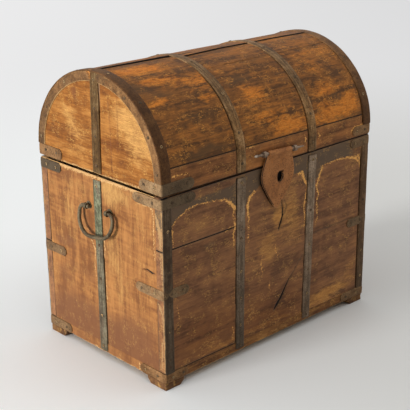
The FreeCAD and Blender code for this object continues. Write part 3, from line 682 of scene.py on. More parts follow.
def carve(piece, low, high):
    """Cuts a box out of a piece."""
    mesh = bpy.data.meshes.new("cutter")
    work = bmesh.new()
    bmesh.ops.create_cube(work, size=1.0)
    middle = (np.array(low) + np.array(high)) / 2 * MM
    size = (np.array(high) - np.array(low)) * MM
    bmesh.ops.transform(work, verts=work.verts, matrix=Matrix.LocRotScale(middle, None, size))
    work.to_mesh(mesh)
    work.free()
    cutter = placed("cutter", mesh)
    modifier = piece.modifiers.new("carve", "BOOLEAN")
    modifier.object = cutter
    modifier.operation = "DIFFERENCE"
    modifier.solver = "EXACT"
    apply_modifiers(piece)
    bpy.data.objects.remove(cutter)


# ---- flat iron -----------------------------------------------------------------------------------
# Half of a strip's section: place across, from the edge at 1 to the middle at 0, and share of the
# thickness. The lowest point lies under the wood's face.
STRIP_SECTION = [(1.0, -0.45), (1.0, 0.35), (0.97, 0.62), (0.88, 0.8), (0.62, 0.9), (0.32, 0.97),
                 (0.0, 1.0)]
NICK = 0.05                   # shares of a strip's width and thickness that its unevenness takes
WAVE = 0.035
DENT = 0.10


def tip_width(tip, far, half):
    """Share of a strip's width at a distance from its tip, which is 1 for a round tip, 0.5 for one
    with its corners cut off and 0 for a square one."""
    if tip == 1:
        return np.maximum(np.sqrt(1 - (np.clip(half - far, 0, half) / half) ** 2), 0.12)
    if tip == 0.5:
        return np.clip(0.42 + far / half, 0, 1)
    return np.clip(0.93 + far / 12, 0, 1)


def strip(part, path, outs, half, tip=0, thick=2.0, seed=0, step=3.0, warm=0.0, dull=0.0, rub=0.5):
    """Adds a hammered flat strip along a path, with its underside on the path. outs is the way out of
    the wood, one or one for each point. warm and dull are shares of rust brown and of soot, one
    number or one for each point of the path, and rub is the wear of its edges."""
    path = np.asarray(path, float)
    outs = unit(np.broadcast_to(np.asarray(outs, float), path.shape))
    run = runs(path)
    at = spaced(0.0, run[-1], step)
    centre = np.stack([np.interp(at, run, path[:, k]) for k in range(3)], axis=-1)
    out = unit(np.stack([np.interp(at, run, outs[:, k]) for k in range(3)], axis=-1))
    across = unit(np.cross(unit(np.gradient(centre, axis=0)), out))
    nicks = np.maximum(noise(centre, 7, seed + 4) - .3, 0)
    width = half * (1 + WAVE * noise(centre, 22, seed + 3) - NICK * nicks)
    width = width * tip_width(tip, at, half) * tip_width(tip, at[-1] - at, half)
    sides = np.array([(-a, h) for a, h in STRIP_SECTION] + STRIP_SECTION[-2::-1])
    place, level = sides.T[:, None, :]
    spot = centre[:, None, :] + across[:, None, :] * (place * width[:, None])[..., None]
    dent = 1 - DENT * np.abs(noise(spot, 9, seed)) - DENT * np.maximum(noise(spot, 24, seed + 1), 0)
    rise = level * thick * np.where(level > 0, dent, 1)
    points = spot + out[:, None, :] * rise[..., None]
    rows, columns = rise.shape
    faces = grid_faces(rows, columns)
    faces += [[i * columns + columns - 1, i * columns, (i + 1) * columns, (i + 1) * columns + columns - 1]
              for i in range(rows - 1)]
    faces.append(list(range(columns)))
    faces.append(list(range((rows - 1) * columns, rows * columns)))
    tones = {}
    for name, tone in (("warm", warm), ("dull", dull)):
        if np.any(tone):
            tone = np.interp(at, run, np.broadcast_to(np.asarray(tone, float), len(path)))
            tones[name] = np.broadcast_to(tone[:, None], rise.shape)
    part.add(points, faces, worn=np.broadcast_to(rub * np.abs(place) ** 4, rise.shape), **tones)


def iron_strip(node, body, slot, material, path, outs, half, **options):
    """A piece that is one strip."""
    part = Part()
    strip(part, path, outs, half, **options)
    part.build(f"{node}_iron", body, slot, [material], node)


def straight(a, b):
    return np.linspace(a, b, 3)


STRAP_W = 21.0
# For each strap on the front where its foot and its top are, and its soot from foot to top.
FRONT_STRAPS = {
    "front_strap_left": (-91.0, -87.0, (1.0, 0.55, 0.1)),
    "front_strap_right": (98.5, 109.0, (0.5, 0.1, 0.0)),
}
CORNER_SOOT = (0.65, 0.2, 0.1)
CORNER_WARMTH = {-1: 0.0, 1: 0.55}
LID_END_STRAP_Y = -0.5
LID_END_STRAP_HALF = 11.5
LID_END_STRAP_OFF = 0.25      # how far its underside lies off the wood


def front_straps(material):
    for node, (foot_x, top_x, soot) in FRONT_STRAPS.items():
        low, high = extent(node)
        path = straight((foot_x, -HALF_D, low[2]), (top_x, -HALF_D, high[2]))
        iron_strip(node, "trunk", "strap_iron", material, path, (0, -1, 0), STRAP_W / 2, seed=len(node),
                   dull=soot, warm=(0.2, 0.1, 0.0))


def upright_straps(corner, green, lid_end):
    """The straps at the box's corners and on its ends, and those up the ends of the lid."""
    for side, end in ENDS:
        for face, depth in DEPTHS:
            node = f"corner_strap_{depth}_{end}"
            low, high = extent(node)
            x = (low[0] + high[0]) / 2
            path = straight((x, face * HALF_D, low[2] - 1), (x, face * HALF_D, high[2] + 1))
            iron_strip(node, "trunk", "strap_iron", corner, path, (0, face, 0), STRAP_W / 2 - 0.2,
                       seed=30 + side + face, dull=CORNER_SOOT, warm=CORNER_WARMTH[side])
        low, high = extent(f"end_strap_{end}")
        y = (low[1] + high[1]) / 2
        path = straight((side * HALF_W, y, low[2]), (side * HALF_W, y, high[2]))
        iron_strip(f"end_strap_{end}", "trunk", "green_iron", green, path, (side, 0, 0), STRAP_W / 2,
                   seed=40 + side)
        x = side * (HALF_W + LID_END_STRAP_OFF)
        path = straight((x, LID_END_STRAP_Y, RIM_Z), (x, LID_END_STRAP_Y, CROWN_Z + CROWN_R - 0.6))
        iron_strip(f"lid_end_strap_{end}", "lid", "strap_iron", lid_end, settled(path),
                   settled_ways((side, 0, 0)), LID_END_STRAP_HALF, thick=1.75, seed=45 + side)


# The corner braces, as in the frame: for each corner (end, face) the lengths of the legs along the
# face and along the end.
CORNERS = ((-1, -1), (1, -1), (-1, 1), (1, 1))
BRACES = {
    "top_braces": ((78, 76), (57, 70), (64, 64), (60, 64)),
    "middle_braces": ((59, 75), (59, 70), (62, 66), (60, 66)),
    "bottom_braces": ((53, 70), (71, 70), (66, 70), (64, 70)),
    "lid_braces": ((74, 58), (53, 62), (66, 71), (60, 66)),
}
# Rust brown and soot on the braces, (warm, dull) on the face and then on the end, for each corner.
PLAIN_TONE = ((0.3, 0.2), (0.3, 0.2))
BRACE_TONES = {
    "top_braces": (((0.1, 0.8), (0.2, 0.0)), ((0.5, 0.4), (0.3, 0.2)), ((0.2, 0.2), (0.0, 1.0)),
                   PLAIN_TONE),
    "middle_braces": (((0.3, 0.4), (0.3, 0.0)), ((0.4, 0.5), (0.3, 0.1)), ((0.3, 0.2), (0.6, 0.4)),
                      PLAIN_TONE),
    "bottom_braces": (((1.0, 0.0), (1.0, 0.0)), ((0.7, 0.2), (0.4, 0.1)), ((0.3, 0.2), (0.5, 0.15)),
                      PLAIN_TONE),
    "lid_braces": (((0.3, 0.75), (0.3, 0.1)), ((0.9, 0.1), (0.6, 0.1)), ((0.6, 0.1), (1.0, 0.15)),
                   PLAIN_TONE),
}
LID_BRACE_TOPS = {-1: BODY_TOP + 23.8, 1: BODY_TOP + 26.2}
BRACE_H = 19.0
BRACE_BEND = 1.6


def brace_path(side, face, half_d, middle, leg_x, leg_y):
    """From the tip on the face, round the corner, to the tip on the end."""
    x = side * HALF_W
    y = face * half_d
    centre_x = x - side * BRACE_BEND
    centre_y = y - face * BRACE_BEND
    path = [(x - side * leg_x, y, middle), (centre_x, y, middle)]
    outs = [(0, face, 0), (0, face, 0)]
    for turn in np.radians(np.linspace(0, 90, 6)):
        out = (side * math.sin(turn), face * math.cos(turn), 0)
        path.append((centre_x + out[0] * BRACE_BEND, centre_y + out[1] * BRACE_BEND, middle))
        outs.append(out)
    path += [(x, centre_y, middle), (x, y - face * leg_y, middle)]
    return path, outs + [(side, 0, 0), (side, 0, 0)]


def braces(material):
    for node, legs in BRACES.items():
        on_lid = node == "lid_braces"
        part = Part()
        for (side, face), (leg_x, leg_y), tones in zip(CORNERS, legs, BRACE_TONES[node]):
            deeper = sag(side * HALF_W) / 2 if on_lid else 0
            top = LID_BRACE_TOPS[side] if on_lid else extent(node)[1][2]
            middle = top - BRACE_H / 2 - deeper
            path, outs = brace_path(side, face, LID_HALF if on_lid else HALF_D, middle, leg_x, leg_y)
            if on_lid:
                path = settled(path)
                outs = settled_ways(outs)
            bend = len(path) // 2
            warm, dull = ([first] * bend + [then] * (len(path) - bend) for first, then in zip(*tones))
            strip(part, path, outs, BRACE_H / 2 + deeper, tip=1 if face < 0 else 0.5,
                  seed=int(leg_x + 3 * side), step=2.0, warm=warm, dull=dull)
        part.build(f"{node}_iron", "lid" if on_lid else "trunk", "strap_iron", [material], node)


# ---- ironwork of the lid ---------------------------------------------------------------------------
HINGE_Y = 183.5
HINGE_Z = BODY_TOP + 3.0
KNUCKLE_R = 5.5
PIN_R = 2.5
KNUCKLE_THICK = KNUCKLE_R - PIN_R - 0.2
LID_KNUCKLE_HALF = 4.0
SIDE_KNUCKLE_HALF = 3.05
SIDE_KNUCKLE_OFF = 7.4
LID_ROLL = (165, 500)         # where a knuckle's roll starts and ends round the pin, in degrees
SIDE_ROLL = (-165, -500)
TONGUE = (4.0, 8.5)           # from where to where the stop tongue reaches, from the pin
NECK_LOW = 12.0               # the necks of the outer knuckles leave the strap this far under the pin
STRAP_END = 5.6               # the lid's straps end this far above the hinge pins
LID_STRAPS = {"left": -88.0, "right": 106.0}
# Soot on the straps, left off on their front shoulder as a painted highlight, and rust brown and soot
# on the bands, from the foot at the front over the crown to the foot at the back, as (shares of the
# way, amounts).
LID_STRAP_SOOT_AND_HIGHLIGHT = ((0, 0.05, 0.1, 0.17, 0.24, 0.4, 0.5, 1), (0.5, 0.3, 0.0, 0.0, 0.5, 0.5, 0.3, 0.2))
BAND_WARMTH = {
    -1: ((0, 0.3, 0.5, 1), (0.1, 0.1, 0.5, 0.4)),
    1: ((0, 0.12, 0.25, 0.5, 1), (0.1, 0.3, 0.8, 0.9, 0.5)),
}
RIM_WARMTH = ((0, 0.06, 0.12, 0.3, 0.42, 0.49, 0.53, 0.62, 0.66, 0.72, 0.78, 1),
              (0.5, 0.9, 0.5, 0.5, 0.3, 0.2, 1.0, 0.9, 0.4, 1.0, 0.4, 0.3))
RIM_SOOT = ((0, 0.04, 0.08, 0.4, 0.5, 0.52, 0.62, 0.68, 0.71, 0.8, 1),
            (0.3, 0.5, 0.0, 0.1, 0.5, 0.1, 0.1, 0.5, 0.0, 0.3, 0.4))


def along_way(tones, count):
    return np.interp(np.linspace(0, 1, count), *tones)


def arch_path(x, s_from, s_to, offset=0.0, count=120):
    y, z, out_y, out_z = arch(np.linspace(s_from, s_to, count))
    path = np.stack([np.full(count, x), y + out_y * offset, z + out_z * offset], axis=-1)
    outs = np.stack([np.zeros(count), out_y, out_z], axis=-1)
    return settled(path), settled_ways(outs)


def knuckle(part, x, start, stop, half, seed):
    """Once round a hinge pin, on the outside of the knuckle, with the outward side to the pin."""
    turns = np.radians(np.linspace(start, stop, 26))
    outs = -np.stack([0 * turns, np.cos(turns), np.sin(turns)], axis=-1)
    path = (x, HINGE_Y, HINGE_Z) - KNUCKLE_R * outs
    strip(part, path, outs, half, thick=KNUCKLE_THICK, seed=seed, step=1.2)


def lid_straps(material):
    for end, x in LID_STRAPS.items():
        part = Part()
        path, outs = arch_path(x, -S_RIM, S_SPRING + SPRING_Z - HINGE_Z - STRAP_END)
        strip(part, path, outs, STRAP_W / 2, seed=50 + int(x), dull=along_way(LID_STRAP_SOOT_AND_HIGHLIGHT, len(path)))
        knuckle(part, x, *LID_ROLL, LID_KNUCKLE_HALF, 3)
        tongue = straight(*((x, HINGE_Y + reach, HINGE_Z - 1.0) for reach in TONGUE))
        strip(part, tongue, (0, 0, 1), LID_KNUCKLE_HALF, thick=2.0, seed=5, step=1.2)
        part.build(f"lid_strap_{end}_iron", "lid", "strap_iron", [material], f"lid_strap_{end}")


def hinge_straps(material):
    for end, x in LID_STRAPS.items():
        node = f"hinge_strap_{end}"
        part = Part()
        path = straight((x, HALF_D, extent(node)[0][2]), (x, HALF_D, HINGE_Z - 9.0))
        strip(part, path, (0, 1, 0), STRAP_W / 2, seed=60 + int(x))
        for way in (-1, 1):
            beside = x + way * SIDE_KNUCKLE_OFF
            knuckle(part, beside, *SIDE_ROLL, SIDE_KNUCKLE_HALF, 7 + way)
            neck = straight((beside, HALF_D, HINGE_Z - NECK_LOW), (beside, HALF_D + 1.6, HINGE_Z))
            strip(part, neck, (0, 1, 0), SIDE_KNUCKLE_HALF, seed=9 + way, step=1.5)
        part.build(f"{node}_iron", "trunk", "strap_iron", [material], node)


def lid_bands(band, rim_band):
    count = 200
    rim_half = (BOARD + 0.5) / 2
    for side, end in ENDS:
        foot = S_SPRING + SPRING_Z - LID_BRACE_TOPS[side]
        half = (STRAP_W + IRON) / 2
        path, outs = arch_path(side * (HALF_W + IRON - half), -foot, foot, count=count)
        iron_strip(f"dome_band_{end}", "lid", "strap_iron", band, path, outs, half, seed=70 + side,
                   warm=along_way(BAND_WARMTH[side], count))
        path, _ = arch_path(side * HALF_W, -foot, foot, offset=-rim_half, count=count)
        iron_strip(f"arch_band_{end}", "lid", "strap_iron", rim_band, path, settled_ways((side, 0, 0)),
                   rim_half, thick=1.8, seed=80 + side, warm=along_way(RIM_WARMTH, count),
                   dull=along_way(RIM_SOOT, count), rub=1.35)


# ---- handles ---------------------------------------------------------------------------------------
def bar(part, path, radii, side, sides=14, seed=0, **values):
    """Adds a forged round bar along a path. side is a direction square to the whole path, and values
    are given for each point of the path."""
    path = np.asarray(path, float)
    side = np.broadcast_to(np.asarray(side, float), path.shape)
    other = unit(np.cross(unit(np.gradient(path, axis=0)), side))
    turns = np.linspace(0, 2 * math.pi, sides, endpoint=False)
    ring = side[:, None, :] * np.cos(turns)[:, None] + other[:, None, :] * np.sin(turns)[:, None]
    spot = path[:, None, :] + ring * radii[:, None, None]
    faceted = 0.05 * np.abs(noise(spot, 7, seed)) + 0.04 * np.sin(2 * turns) ** 2
    size = radii[:, None] * (1 - faceted)
    index = numbered(len(path), sides)
    part.add(path[:, None, :] + ring * size[..., None], ring_faces(index) + index[[0, -1]].tolist(),
             **{name: np.repeat(value, sides) for name, value in values.items()})


HANDLE_Y = -1.5
HANDLE_Z = 309.0
HANDLE_OFF = 7.0
BAIL_LEAN = math.radians(9.0)
BAIL_SKEW = math.radians(7.5)
BAIL_HALF = 48.5
BAIL_DROP = 54.0
BAIL_SHOULDER = 12.0
BAIL_BEND = 34.0
EYE_Y = 30.5
# Radius of the bail by the distance from its nearer end: a knob, a neck in the eye, and the bar.
BAIL_RADII = ((0, 0.8, 3.2, 3.7, 9.8, 11.0, 24, 60), (2.6, 3.7, 3.8, 2.8, 2.8, 3.5, 3.7, 3.8))


def bail_limb(way):
    """One half of the bail's middle line as (y, z): out of its eye, down and round the lower bend.
    way is 1 at the back and -1 at the front, where the lower bar ends higher."""
    flat = BAIL_HALF - BAIL_BEND
    rise = 0.0 if way > 0 else 2 * flat * math.tan(BAIL_SKEW)
    bend_z = HANDLE_Z - BAIL_DROP + BAIL_BEND + rise
    points = [(EYE_Y + step, HANDLE_Z) for step in (-7.0, -3.5, 0.0, 3.5)]
    for turn in np.radians(np.linspace(90, 0, 9)):
        points.append((BAIL_HALF - BAIL_SHOULDER + BAIL_SHOULDER * math.cos(turn),
                       HANDLE_Z - BAIL_SHOULDER + BAIL_SHOULDER * math.sin(turn)))
    for turn in np.linspace(0, math.pi / 2 + way * BAIL_SKEW, 17):
        points.append((flat + BAIL_BEND * math.cos(turn), bend_z - BAIL_BEND * math.sin(turn)))
    return np.array(points) * (way, 1)


def bails(material):
    whole = np.concatenate([bail_limb(1), bail_limb(-1)[::-1]])
    run = runs(whole)
    at = np.linspace(0, run[-1], 160)
    y = np.interp(at, run, whole[:, 0]) + HANDLE_Y
    drop = HANDLE_Z - np.interp(at, run, whole[:, 1])
    radii = np.interp(np.minimum(at, run[-1] - at), *BAIL_RADII)
    for side, end in ENDS:
        part = Part()
        x = side * (HALF_W + HANDLE_OFF + drop * math.sin(BAIL_LEAN))
        path = np.stack([x, y, HANDLE_Z - drop * math.cos(BAIL_LEAN)], axis=-1)
        square = (math.cos(BAIL_LEAN), 0, side * math.sin(BAIL_LEAN))
        bar(part, path, radii, square, seed=90 + side)
        part.build(f"handle_{end}_bail", f"handle_{end}_bail", "handle_iron", [material], f"handle_{end}")


# ---- hasp ------------------------------------------------------------------------------------------
HASP_X = 7.0
HASP_Y = -(LID_HALF + 6.0)
HASP_Z = BODY_TOP + 24.5
HASP_TILT = math.radians(3.4)
HASP_T = 2.5
HOLE = (5.0, -49.5)
HOLE_HALF_W = 6.5
HOLE_HALF_H = 10.0
NOTCH = 3.0
# Heights and half widths of the hasp from its pin down to its tip.
HASP_SHAPE = [(0, 31), (-20, 39.5), (-42, 44.5), (-58, 41.5), (-72, 33), (-91, 19.5), (-104, 9),
              (-109.5, 4), (-111, 0)]
BARREL_HALF = HASP_SHAPE[0][1]
DOT_STEP = 6.0                # the punched dots along the hasp's edge
DOT_INSET = 5.5
DOT_R = 0.75
DOT_DEPTH = 0.7
EDGE_R = 0.9                  # the hasp's rounded outer edge, and the edge of its hole
HOLE_EDGE_R = 0.5
BARREL_SHAPE = ((0, 0.8, 2), (4.6, 5.2, 5.3))     # distance from the nearer end, and radius


def hasp_world(u, v, w):
    """A point of the hasp: across, up from its pin, and out."""
    x = HASP_X + u * math.cos(HASP_TILT) + v * math.sin(HASP_TILT)
    z = HASP_Z - u * math.sin(HASP_TILT) + v * math.cos(HASP_TILT)
    return np.stack(np.broadcast_arrays(x, HASP_Y - w, z), axis=-1)


def smooth_line(points, count):
    """A smooth line through a few points."""
    points = np.array(points, float)
    padded = np.concatenate([2 * points[:1] - points[1:2], points, 2 * points[-1:] - points[-2:-1]])
    found = []
    for k in range(len(points) - 1):
        a, b, c, d = padded[k:k + 4]
        for t in np.linspace(0, 1, count, endpoint=False):
            found.append(0.5 * (2 * b + (c - a) * t + (2 * a - 5 * b + 4 * c - d) * t ** 2
                                + (3 * b - a - 3 * c + d) * t ** 3))
    return np.array(found + [points[-1]])


def hasp_outline():
    side = smooth_line([(w, v) for v, w in HASP_SHAPE], 14)
    top = np.stack([np.linspace(-BARREL_HALF, BARREL_HALF, 40)[1:-1], np.zeros(38)], axis=-1)
    return np.concatenate([side, (side * (-1, 1))[::-1][1:], top])


def hole_outline():
    """A slot with round ends and a notch at its upper right."""
    straight_half = HOLE_HALF_H - HOLE_HALF_W
    points = []
    for turn in np.linspace(0, 2 * math.pi, 90, endpoint=False):
        a = HOLE_HALF_W * math.cos(turn)
        b = HOLE_HALF_W * math.sin(turn) + math.copysign(straight_half, math.sin(turn))
        if a <= 1 or b <= 5:
            points.append((a, b))
    for step in np.linspace(0, 1, 8):
        points.append((HOLE_HALF_W + 1.5, HOLE_HALF_H - NOTCH + NOTCH * step))
        points.append((1 + step * (HOLE_HALF_W + 0.5), HOLE_HALF_H))
    return np.array(points)


def reach_of(outline, turns):
    """Distance from the middle to a closed outline in each direction."""
    angle = np.arctan2(outline[:, 1], outline[:, 0])
    order = np.argsort(angle)
    return np.interp(turns, angle[order], np.linalg.norm(outline, axis=1)[order], period=2 * math.pi)


def punched_dots(edge):
    """The dots beside the hasp's edge, with a few worn away."""
    run = runs(edge)
    normal = unit(np.stack([np.gradient(edge[:, 1]), -np.gradient(edge[:, 0])], axis=-1))
    dots = []
    for at in np.arange(0, run[-1], DOT_STEP):
        k = int(np.searchsorted(run, at))
        dot = edge[k] - normal[k] * DOT_INSET
        if dot[1] < -10 and math.sin(7.3 * at) > -0.6:
            dots.append(dot)
    return dots


def hasp(material):
    around = 460
    rings = 56
    turns = np.linspace(-math.pi, math.pi, around, endpoint=False)
    outer = reach_of(hasp_outline() - HOLE, turns)
    inner = reach_of(hole_outline(), turns)
    share = 1 - (1 - np.linspace(0, 1, rings)[:, None]) ** 1.6
    reach = inner + (outer - inner) * share
    u = HOLE[0] + reach * np.cos(turns)
    v = HOLE[1] + reach * np.sin(turns)
    to_edge = (outer - inner) * (1 - share)
    to_hole = (outer - inner) * share
    spots = np.stack([u, v], axis=-1)
    punched = np.min([np.linalg.norm(spots - dot, axis=-1) for dot in punched_dots(spots[-1])], axis=0)
    flat = hasp_world(u, v, 0 * u)
    drop = rounding(EDGE_R, to_edge) + rounding(HOLE_EDGE_R, to_hole)
    drop += DOT_DEPTH * smooth(-punched, -1.5, -0.5)
    drop += 0.3 * np.abs(noise(flat, 11, 4)) + 0.35 * np.maximum(noise(flat, 30, 5), 0)
    front = hasp_world(u, v, -drop)
    back = hasp_world(u[[0, -1]], v[[0, -1]], np.full((2, around), -HASP_T))
    order = [*range(rings), rings + 1, rings, 0]
    # The punched dots are dark, and the plate's left edge and the rim of its hole are darkened: painted
    # shadow of the gap under the plate and painted shade in the hole.
    left_edge_shade = (np.cos(turns) < 0.2) & (v < -6) & (v > -104)
    dots_and_shade = np.maximum(DOT_R - punched, np.where(left_edge_shade, 1.6 - to_edge, FAR_OFF))
    dots_and_shade = np.maximum(dots_and_shade, 1.1 - to_hole)
    empty = np.zeros((2, around))
    part = Part()
    part.add(np.concatenate([front, back]), ring_faces(numbered(rings + 2, around)[order]),
             cracked=np.concatenate([as_attribute(dots_and_shade), empty]),
             worn=np.concatenate([np.clip(1 - to_edge / 2.5, 0, 1), empty]))
    ends = np.linspace(-BARREL_HALF, BARREL_HALF, 40)
    radii = np.interp(BARREL_HALF - np.abs(ends), *BARREL_SHAPE)
    bar(part, hasp_world(ends, 0 * ends, 0 * ends), radii, (0, 1, 0), sides=20, seed=6)
    part.build("hasp_plate_iron", "hasp", "rusty_iron", [material], "hasp_plate")


# Radius of the hasp's pin by the place along it: hammered to a knob at its left end and drawn out thin
# at its right.
PIN_SHAPE = ((-66.5, -65.5, -63, -60.5, -58, -56, -50, 46, 56, 66.5),
             (1.2, 2.0, 2.4, 2.8, 2.8, 2.0, 2.7, 2.7, 2.3, 1.0))
KNOB = -63.0
KNOB_NECK = -58.5


def hasp_pin(material):
    at = np.linspace(PIN_SHAPE[0][0], PIN_SHAPE[0][-1], 130)
    part = Part()
    # The neck behind the knob is darkened, painted shade in the crease, and the knob's end is paler.
    bar(part, hasp_world(at, 0 * at, 0 * at), np.interp(at, *PIN_SHAPE), (0, 1, 0), seed=12,
        cracked=0.6 * np.exp(-((at - KNOB_NECK) / 2.6) ** 2), worn=np.where(at < KNOB, 1.0, 0.25))
    part.build("hasp_pin_rod", "lid", "strap_iron", [material], "hasp_pin")


# ---- nails -----------------------------------------------------------------------------------------
def loose_parts(mesh):
    """The points of each loose part of a mesh, in millimetres."""
    work = bmesh.new()
    work.from_mesh(mesh)
    bmesh.ops.remove_doubles(work, verts=work.verts, dist=0.001 * MM)
    work.verts.ensure_lookup_table()
    work.verts.index_update()
    taken = set()
    found = []
    for first in work.verts:
        if first.index in taken:
            continue
        taken.add(first.index)
        waiting = [first]
        group = []
        while waiting:
            vert = waiting.pop()
            group.append(tuple(vert.co / MM))
            for edge in vert.link_edges:
                other = edge.other_vert(vert)
                if other.index not in taken:
                    taken.add(other.index)
                    waiting.append(other)
        found.append(np.array(group))
    work.free()
    return found


def nail_head(points):
    """The middle of the underside of a nail's head, and the direction that the head faces."""
    middle = points.mean(axis=0)
    axis = np.linalg.svd(points - middle)[2][0]
    along = (points - middle) @ axis
    away = np.linalg.norm(points - middle - along[:, None] * axis, axis=1)
    rim = away > away.max() - 0.2
    if along[rim].mean() < 0:
        axis = -axis
        along = -along
    return middle + axis * along[rim].min(), axis


# A hammered head from its middle outwards: distance from the middle in head radii, and height.
HEAD_PROFILE = [(0.12, 0.7), (0.25, 0.75), (0.42, 1.15), (0.7, 1.1), (0.9, 0.75), (1.0, 0.2), (0.98, -0.4)]
HEAD_R = 3.3
HEAD_SIDES = 14


def nail_heads(material):
    turns = np.linspace(0, 2 * math.pi, HEAD_SIDES, endpoint=False)
    shares, heights = np.transpose(HEAD_PROFILE)
    index = numbered(len(shares), HEAD_SIDES)
    faces = ring_faces(index) + index[[0, -1]].tolist()
    draw = np.random.default_rng(23)
    for body in ("trunk", "lid"):
        part = Part()
        for points in loose_parts(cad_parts[f"{body}_nails"].data):
            place, out = nail_head(points)
            side = unit(np.cross(out, (0.3, 0.5, 0.8)))
            other = np.cross(out, side)
            sunk = draw.uniform(-0.5, 0.0)
            size = HEAD_R * draw.uniform(0.82, 1.0)
            pale = draw.uniform(0.0, 1.0)
            hollow = draw.uniform(0.3, 0.62)
            reach = 1 + 0.07 * np.sin(2 * turns + 6 * pale) + 0.05 * np.sin(3 * turns + 9 * hollow)
            reach = (size * np.outer(shares, reach))[..., None]
            round_it = np.cos(turns)[:, None] * side + np.sin(turns)[:, None] * other
            rings = place + ((heights + sunk)[:, None] * out)[:, None, :] + reach * round_it
            # Dark in the hollow middle of some heads and round each head's edge where it meets the wood:
            # painted shade.
            dark = np.where(shares < 0.3, hollow, np.where(shares > 0.95, 0.6, 0.0))
            worn = 1.5 * pale * np.exp(-((shares - 0.72) / 0.2) ** 2)
            part.add(rings, faces, cracked=np.repeat(dark, HEAD_SIDES), worn=np.repeat(worn, HEAD_SIDES))
        part.build(f"{body}_nails_heads", body, "nail_iron", [material], f"{body}_nails")


# ---- feet and plinth -------------------------------------------------------------------------------
FOOT_VOXEL = 1.4
PLINTH_R = 1.6                # its upright corners
PLINTH_STEP = 2.6


def vertex_values(mesh, name):
    values = np.zeros(len(mesh.vertices) * 3, np.float32)
    mesh.vertices.foreach_get(name, values)
    return values.reshape(-1, 3)


def foot(node, side, material):
    block = placed(f"{node}_block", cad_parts[node].data.copy())
    remesh = block.modifiers.new("remesh", "REMESH")
    remesh.mode = "VOXEL"
    remesh.voxel_size = FOOT_VOXEL * MM
    rounded = block.modifiers.new("rounding", "SMOOTH")
    rounded.factor = 0.6
    rounded.iterations = 3
    mesh = apply_modifiers(block)
    spots = vertex_values(mesh, "co") / MM
    chips = np.maximum(noise(spots, 11, 8 + side) - 0.25, 0)
    lift = np.where(spots[:, 2] > 1.5, -0.15 - 0.3 * np.abs(noise(spots, (30, 30, 4), 2)) - 1.6 * chips, 0)
    spots = spots + vertex_values(mesh, "normal") * lift[:, None]
    mesh.vertices.foreach_set("co", (spots * MM).reshape(-1))
    low, high = extent(node)
    edge = np.minimum(spots - low, high - spots)[:, :2].min(axis=1)
    set_values(mesh, "worn", np.clip(chips * 2 + (edge < 2) * .3, 0, 1))
    mesh.materials.clear()
    mesh.materials.append(material)
    mesh.shade_smooth()
    claimed(block, "trunk", "base_wood", node)


def plinth_loop():
    """Points round the bottom board and the way out at each, as (x, y, way x, way y)."""
    loop = []
    for quarter, (sx, sy) in enumerate(((1, -1), (1, 1), (-1, 1), (-1, -1))):
        centre = np.array((sx * (HALF_W - PLINTH_R), sy * (HALF_D - PLINTH_R)))
        for angle in np.radians(90 * quarter + np.linspace(-90, 0, 6)):
            out = np.array((math.cos(angle), math.sin(angle)))
            loop.append((*(centre + PLINTH_R * out), *out))
        run = 2 * (HALF_W if quarter % 2 else HALF_D) - 2 * PLINTH_R
        turn = math.radians(90 * quarter + 90)
        way = np.array((math.cos(turn), math.sin(turn)))
        first = np.array(loop[-1][:2])
        for far in np.arange(PLINTH_STEP, run - 1, PLINTH_STEP):
            loop.append((*(first + way * far), *out))
    return np.array(loop)


def plinth(materials):
    """The bottom board, whose edge shows all round under the walls."""
    loop = plinth_loop()
    heights = spaced(FOOT_H, BASE_TOP, 2.5)
    base = np.stack(np.broadcast_arrays(loop[:, 0:1], loop[:, 1:2], heights), axis=-1)
    out = np.stack([loop[:, 2], loop[:, 3], np.zeros(len(loop))], axis=-1)[:, None, :]
    chips = np.maximum(noise(base, 14, 12) - 0.2, 0)
    to_low = base[..., 2] - FOOT_H
    to_high = BASE_TOP - base[..., 2]
    lift = -0.5 - 0.4 * np.abs(noise(base, (60, 60, 6), 5))
    lift = lift - rounding(1.4 + 4.5 * chips, to_low) - rounding(1.0 + 0.8 * chips, to_high)
    index = numbered(*lift.shape)
    beside = np.roll(index, -1, axis=0)
    quads = np.stack([index[:, :-1], beside[:, :-1], beside[:, 1:], index[:, 1:]], axis=-1)
    on_end = np.abs(loop[:, 2]) > 0.5
    faces = quads[~on_end].reshape(-1, 4).tolist() + index[:, [0, -1]].T.tolist()
    seam = np.where(on_end[:, None] | (loop[:, 0:1] > -104), -9, 0.8 - to_high)
    bright = np.where(on_end[:, None], 0, 0.05 + 0.8 * np.abs(noise(base, (80, 80, 12), 9)))
    part = Part()
    part.add(base + out * lift[..., None], faces, quads[on_end].reshape(-1, 4).tolist(),
             worn=np.clip(1 - to_low / 7.0, 0, 1), cracked=as_attribute(seam),
             flaked=as_attribute(flaked_at(base.reshape(-1, 3))), bright=bright,
             grime=0.6 * on_end[:, None] + 0 * to_low)
    part.build("bottom_board_plank", "trunk", "base_wood", materials, "bottom_board")


# ---- materials -------------------------------------------------------------------------------------
class Wire:
    """A value in a node material. Sums and products of wires become Math nodes."""

    def __init__(self, shader, socket):
        self.shader = shader
        self.socket = socket

    def __add__(self, other):
        return self.shader.math("ADD", self, other)

    def __radd__(self, other):
        return self.shader.math("ADD", other, self)

    def __sub__(self, number):
        return self.shader.math("ADD", self, -number)

    def __mul__(self, other):
        return self.shader.math("MULTIPLY", self, other)


